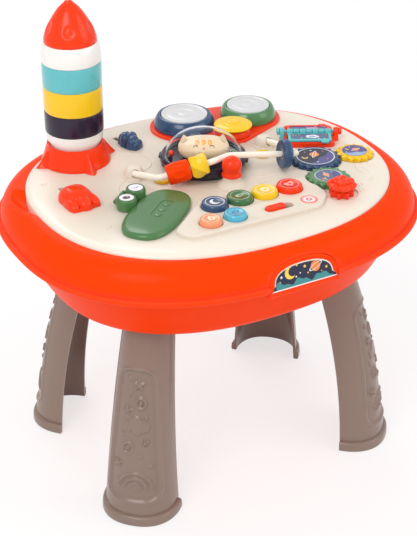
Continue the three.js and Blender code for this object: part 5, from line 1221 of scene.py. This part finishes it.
def makeGears():
    socket = drum(4.2, 328, 332.9)
    for seed, colour in enumerate(("blue", "yellow", "green"), 1):
        gear = gears[colour]
        move = mover(gear["x"], gear["y"])
        ring, plate = gearRing(gear), gear["print"]
        wide = toothSize * gear["teeth"] - gearForm["inset"] - gearForm["rim"]
        face = [(wide + 0.25, 335.0), (wide, 335.1), (wide - 0.1, 335.5), (wide - 0.35, 335.85),
                (wide - 0.9, 336.0), (plate + 0.9, 336.0), (plate + 0.5, 335.75), (plate * 0.5, 335.75)]
        rings = pillowRings(ring, gearForm["low"], gearForm["face"], 1.5, 0.5, 6)
        rings += [level(circle(radius, len(ring)), z) for radius, z in face]
        body, name = colour + "_gear", colour.capitalize()
        form, cuts = move(loft(rings)), [move(socket)]
        make("gear" + name, form, gear["paint"], body, "gear_" + colour, cuts, sharp=44)
        skyPrint("gearPrint" + name, body, gear["x"], gear["y"], gearForm["print"], plate, gear["field"],
                 gear["turn"], gear.get("rim", True), seed)
    move = mover(gears["red"]["x"], gears["red"]["y"])
    pinion = pillow(gearRing(gears["red"]), gearForm["low"], 336.0, 0.8, 0.5, 4)
    joins = [drum(8.2, 335, 337.4, 48)]
    for count, out, high, size, lean, start in flowerTiers:
        petal = place(ball(size), out, 0, high, 0, Matrix.Rotation(radians(-lean), 4, "Y"))
        joins += [place(petal, turn=angle + start) for angle in around(count)]
    joins.append(turned([(0, 337), (11.4, 337), (12.2, 339), (9, 342.5), (5.2, 345), (0, 345)], 48))
    swirl = []
    for t in shares(33):
        angle, reach = 0.6 + 2 * pi * 1.25 * t, 3.5 * (1 - t) + 0.3
        swirl.append((reach * cos(angle), reach * sin(angle), 345.6 + 1.2 * t))
    joins.append(rod(swirl, 1.9, 18, lambda t: min(1.0, 5 * t + 0.35)))
    make("knobFlower", move(pinion), "toyRed", "red_knob", "gear_knob_red", [move(socket)],
         [move(form) for form in joins], 48)


# Push buttons, the slide switch and a printed disc

button = {"foot": 326.9, "catch": 2.0, "catchWide": 9, "catchOut": 1.2, "shoulder": 334.9, "crown": 335.9,
          "crownRise": 4.7, "soft": 2.7, "face": 340.35, "faceShare": 0.74, "print": 340.33}


def icon(kind, size):
    if kind == "moon":
        return crescent(size)
    if kind == "sun":
        return wavy(size * 0.86, size * 0.14, 9, 0, 8)
    if kind == "heart":
        return [(size * 1.05 * sin(a) ** 3, size * (0.82 * cos(a) - 0.32 * cos(2 * a) - 0.12 * cos(3 * a)))
                for a in around(48, -2 * pi)][::-1]
    if kind == "drop":
        return [(size * 0.8 * cos(a) * (1 - 0.42 * sin(a)), size * sin(a)) for a in around(40)]
    if kind == "leaf":
        return [(size * cos(a), size * 0.5 * sin(a) * (1 - 0.3 * cos(a))) for a in around(40)]
    return [(size * cos(a) * (1 + 0.1 * cos(6 * a)), size * 0.62 * sin(a) * (1 + 0.1 * cos(6 * a)))
            for a in around(60)]


# A flat ring: an outline with a smaller one run backward inside it
def band(ring, inner):
    return ring + inner[:1] + inner[::-1]


def makeButtons():
    foot, soft, crown, rise = button["foot"], button["soft"], button["crown"], button["crownRise"]
    for name, x, y, radius, paint, label, motif in buttons:
        face, body = radius * button["faceShare"], name + "_button"
        line = [(0, foot), (radius, foot), (radius, button["shoulder"])]
        line += [(radius - soft + soft * cos(pi / 2 * t) ** 0.8, crown + rise * sin(pi / 2 * t))
                 for t in shares(9)[1:]]
        line += [(face + 0.5, button["face"] + 0.25), (face + 0.1, button["face"]), (0, button["face"])]
        catch = rectangle(button["catchWide"], 2 * (radius + button["catchOut"]))
        catch = prism(catch, foot, foot + button["catch"])
        titled = name.title().replace("_", "")
        make("button" + titled, place(turned(line, 96), x, y), paint, body, "button_" + name,
             joins=[place(catch, x, y)], sharp=38)
        edge = band(circle(face * 0.97), [(px * 0.9, py * 0.9) for px, py in circle(face)])
        z = button["print"]
        mark("buttonRing" + titled, edge, label, body, x, y, z, 0, 0.06)
        mark("buttonIcon" + titled, icon(motif, face * 0.52), label, body, x, y, z, 12, 0.07)
        dot = icon(motif, face * 0.22)
        mark("buttonDot" + titled, dot, paint, body, x + 0.3, y - 0.2, z + 0.08, 12, 0.04)


def makeSwitch():
    onKnob = mover(switch["knobX"], switch["y"])
    grip = prism(softBox(1.1, 6.4, 0.5), 337.3, 338.5)
    grips = [onKnob(place(grip, (k - 2) * 3.0)) for k in range(5)]
    flange = onKnob(prism(softBox(23, 15, 1), 329.9, 331.9))
    knob = onKnob(pillow(pill(23, 10, 14), 331, 337.6, 1.3, 0, 6))
    make("switchKnob", knob, "toyRed", "switch", "slide_switch", grips, [flange], 38)
    layers = [("Rim", circle(9), "toyRed", 335.0, 0.1), ("Field", circle(7.9), "blushInk", 335.12, 0.05),
              ("Core", circle(6.0, 48), "paleInk", 335.19, 0.04),
              ("Sun", wavy(3.3, 0.7, 7, 0, 8), "toyRed", 335.25, 0.04),
              ("Eye", circle(1.6, 24), "paleInk", 335.31, 0.03)]
    for name, ring, paint, z, thick in layers:
        mark("consoleDisc" + name, ring, paint, "panel", 57.3, -112.0, z, 0, thick)


# Sliding toys: soft lobes merged into one body, worked out station by station

def lobedToy(lobes, length, samples=60, count=52):
    power = 2.7
    rings = []
    for angle in [pi * t for t in shares(count)]:
        y = -0.4985 * length * cos(angle)
        left = [1 - abs((y - cy) / ry) ** power for _, cy, _, ry, _ in lobes]
        wide = max([0.6] + [abs(cx) + rx * rest ** (1 / power)
                            for (cx, _, rx, _, _), rest in zip(lobes, left) if rest > 0])
        upper = []
        for turn in [pi * t for t in shares(samples)]:
            x = wide * cos(turn)
            high = max(top * max(0.0, rest - abs((x - cx) / rx) ** power) ** 0.4
                       for (cx, _, rx, _, top), rest in zip(lobes, left))
            upper.append((x, y, max(0.15, high)))
        rings.append(upper + [(-wide * (1 - 2 * t), y, 0) for t in shares(samples)[1:-1]])
    return loft(rings)


def makeSliders():
    for name, s in sliders.items():
        skew = Matrix.Identity(4)
        skew[1][0] = s["skew"]
        turn = radians(s["turn"])
        body = place(place(lobedToy(s["lobes"], s["length"]), tilt=skew), s["x"], s["y"], onTop, turn)
        shaft = place(prism(softBox(5, s["stem"], 0.6), 326.2, 333), 0, s["along"])
        flange = place(prism(softBox(10.5, s["stem"], 0.8), 325.9, 327.9), 0, s["along"])
        make(name + "SliderBody", body, s["paint"], name + "_slider", name + "_slider",
             joins=[place(form, s["x"], s["y"], 0, turn) for form in (shaft, flange)], sharp=60)


# Frog: a shallow lid over the well, hinged under its two round eyes

def makeFrogLid():
    outside = [(0.5, 331.3), (0.12, 331.45), (0, 331.9)]
    outside += [(5.2 * (1 - cos(a)), 333.3 + 3.9 * sin(a)) for a in [pi / 2 * t for t in shares(11)]]
    outside += [(9, 337.42), (14, 337.6), (20, 337.69), (26, 337.7)]
    inside = [(24, 334.9), (14, 334.8), (7, 334.5), (4, 333.6), (2.8, 332.2), (2.6, 331.3)]
    shell = atFrog(loft([ovalRing(frog, *spot, 120) for spot in inside + outside]))
    rooms = [place(drum(11.1, 329, 340, 72), x, frog["eyeY"]) for x in frog["eyes"]]
    rooms.append(place(prism(softBox(12, 5, 2.2, 8), 329, 333.2), 6, -29.3))
    rooms.append(place(loft([level(pill(40, 14, 12), 337.0), level(pill(41, 15, 12), 338.4)]), 6, -4))
    bead = pillow(oval(4.6, 4.0, 2.2, 0, 48), 336.6, 337.66, 0.5, 0, 4)
    beads = [atFrog(place(bead, 6 + k * 12.2, -4)) for k in (-1, 0, 1)]
    rooms = [atFrog(room) for room in rooms]
    make("frogLidShell", shell, "frogGreen", "frog_lid", "frog_lid", rooms, sharp=34)
    make("frogLidBeads", beads[0], "frogGreen", "frog_lid", joins=beads[1:], sharp=34)


def makeFrogEyes():
    hingeX, hingeY, hingeZ = frog["hinge"]
    low, top = frog["eyeFoot"], frog["eyeTop"]
    line = [(0, low), (10.4, low), (10.8, low + 0.5)]
    line += smooth([(10.8, 334), (10.8, 339.5), (10.55, 342), (9.7, 343.8)], 6)
    line += [(9.3, 344.2), (9.0, 344.35), (8.7, 344.3), (8.45, top), (0, top)]
    joins = [place(turned(line, 72), x, frog["eyeY"]) for x in frog["eyes"]]
    barrels = [hingeX - frog["barrelOut"], hingeX + frog["barrelOut"]]
    joins += [bar(2.4, 9, x, hingeY, hingeZ, 0.5, 28) for x in barrels]
    joins.append(bar(1.4, 15, hingeX, hingeY, hingeZ, 0.3, 20))
    joins += [place(pillow(softBox(8.6, 13.2, 1), low, hingeZ, 0.8, 0.5, 3), x, 42.1) for x in barrels]
    link = place(pillow(softBox(24.6, 10.8, 1.5), low, hingeZ, 1.0, 0.6, 4), hingeX, frog["eyeY"])
    joins = [atFrog(form) for form in joins]
    make("frogEyes", atFrog(link), "frogGreen", "frog_lid", "frog_eyes", joins=joins, sharp=38)

    def onEye(name, ring, paint, x, y, lift=0.09, turn=0.0, thick=0.05):
        mark("frog" + name, ring, paint, "frog_lid", x, y, top + lift, turn, thick)

    edge = band(circle(8.3, 56), circle(7.7, 56))
    # the marks aren't turned with the lid, so only their spots go through its place
    spots = [atFrog([[(x, frog["eyeY"], 0)], []])[0][0][:2] for x in frog["eyes"]]
    for k, (x, y) in enumerate(spots):
        onEye("EyeWhite%d" % (k + 1), circle(8.2, 56), "paleInk", x, y, -0.02, thick=0.1)
        onEye("EyeEdge%d" % (k + 1), edge, "linkBlack", x, y, thick=0.04)
        if k == 0:
            onEye("Pupil", oval(4.0, 3.2, 2.4, 0, 40), "wineInk", x, y)
            onEye("Glint", circle(0.8, 20), "paleInk", x + 1.5, y + 1.2, 0.15, thick=0.04)
    wink = smooth([(-3.2, 1.2), (-1.6, -0.6), (0.6, -0.9), (3.0, 0.6)], 8)
    wink = [(px, py + 0.45) for px, py in wink[::-1]] + [(px, py - 0.45) for px, py in wink]
    onEye("Wink", wink, "linkBlack", *spots[1], turn=8)


makeTray()
makePage("pageTeal", "teal_page", "flip_page_teal", "teal", 0, "slateInk", "paleInk", 3.0)
makePage("pageRed", "red_page", "flip_page_red", "toyRed", 1, "violetInk", "roseInk", -5.0)
makeGears()
makeButtons()
makeSwitch()
makeSliders()
makeFrogLid()
makeFrogEyes()
print("book, gears, controls, sliding toys and frog made")


# Studio: camera, floor, lights

studio = {"eye": (-690.0, -1235.0, 1021.6), "look": (92.91, 167.09, 103.03), "lens": 97.01, "film": 36,
          "floorHalf": 6000, "paper": 0.93, "paperGlow": 1.04, "glowShare": 0.66, "worldLevel": 0.72,
          "lampAim": (0, 0, 280),
          "lamps": [("keyLamp", (-1500, -1100, 2100), 1400, 24.0),
                    ("fillLamp", (1700, -1500, 1500), 1600, 10.5),
                    ("backLamp", (300, 1900, 2000), 1200, 10.5)]}


# Puts something at its spot, turned toward another
def aimed(name, data, spot, target):
    obj = bpy.data.objects.new(name, data)
    obj.location = Vector(spot) * mm
    obj.rotation_euler = (Vector(target) * mm - obj.location).to_track_quat("-Z", "Y").to_euler()
    bpy.context.collection.objects.link(obj)
    return obj


def makeCamera():
    data = bpy.data.cameras.new("photoCamera")
    data.sensor_fit = "VERTICAL"
    data.sensor_height = studio["film"]
    data.lens = studio["lens"]
    data.clip_end = 50
    bpy.context.scene.camera = aimed("photoCamera", data, studio["eye"], studio["look"])


def makeFloor():
    width = 2 * studio["floorHalf"] * mm
    mesh = bpy.data.meshes.new("studioFloor")
    mesh.from_pydata(level(rectangle(width, width), 0), [], [(0, 1, 2, 3)])
    floor = bpy.data.objects.new("studioFloor", mesh)
    bpy.context.collection.objects.link(floor)
    tree = newTree("studioFloor")
    seen, mirrored, through = [tree.add("ShaderNodeLightPath", out="Is %s Ray" % kind)
                               for kind in ("Camera", "Glossy", "Transmission")]
    paper = tree.add("ShaderNodeBsdfDiffuse", None, {"Color": [studio["paper"]] * 3 + [1]})
    glow = tree.add("ShaderNodeEmission", None, {"Color": [1, 1, 1, 1], "Strength": studio["paperGlow"]})
    share = (seen + mirrored + through) * studio["glowShare"]
    mixed = tree.add("ShaderNodeMixShader", None, {0: share, 1: paper, 2: glow})
    tree.add("ShaderNodeOutputMaterial", None, {"Surface": mixed})
    mesh.materials.append(tree.owner)
    floor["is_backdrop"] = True


def makeWorld():
    world = bpy.data.worlds.new("studio")
    bpy.context.scene.world = world
    tree = Tree(world)
    seen = tree.add("ShaderNodeLightPath", out="Is Camera Ray")
    through = tree.add("ShaderNodeLightPath", out="Is Transmission Ray")
    soft, white = [tree.add("ShaderNodeBackground", None, {"Color": [1, 1, 1, 1], "Strength": strength})
                   for strength in (studio["worldLevel"], 1.0)]
    mixed = tree.add("ShaderNodeMixShader", None, {0: seen.op("MAXIMUM", seen, through), 1: soft, 2: white})
    tree.add("ShaderNodeOutputWorld", None, {"Surface": mixed})


def makeLamps():
    for name, spot, size, power in studio["lamps"]:
        data = bpy.data.lights.new(name, "AREA")
        data.shape = "DISK"
        data.size = size * mm
        data.energy = power
        aimed(name, data, spot, studio["lampAim"])


makeCamera()
makeFloor()
makeWorld()
makeLamps()
bpy.context.scene.view_settings.view_transform = "Standard"
print("studio lit")

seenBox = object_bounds()
plain = lambda box: [[round(v, 5) for v in corner] for corner in box]
{"cad": plain(cadBox), "visual": plain(seenBox)}
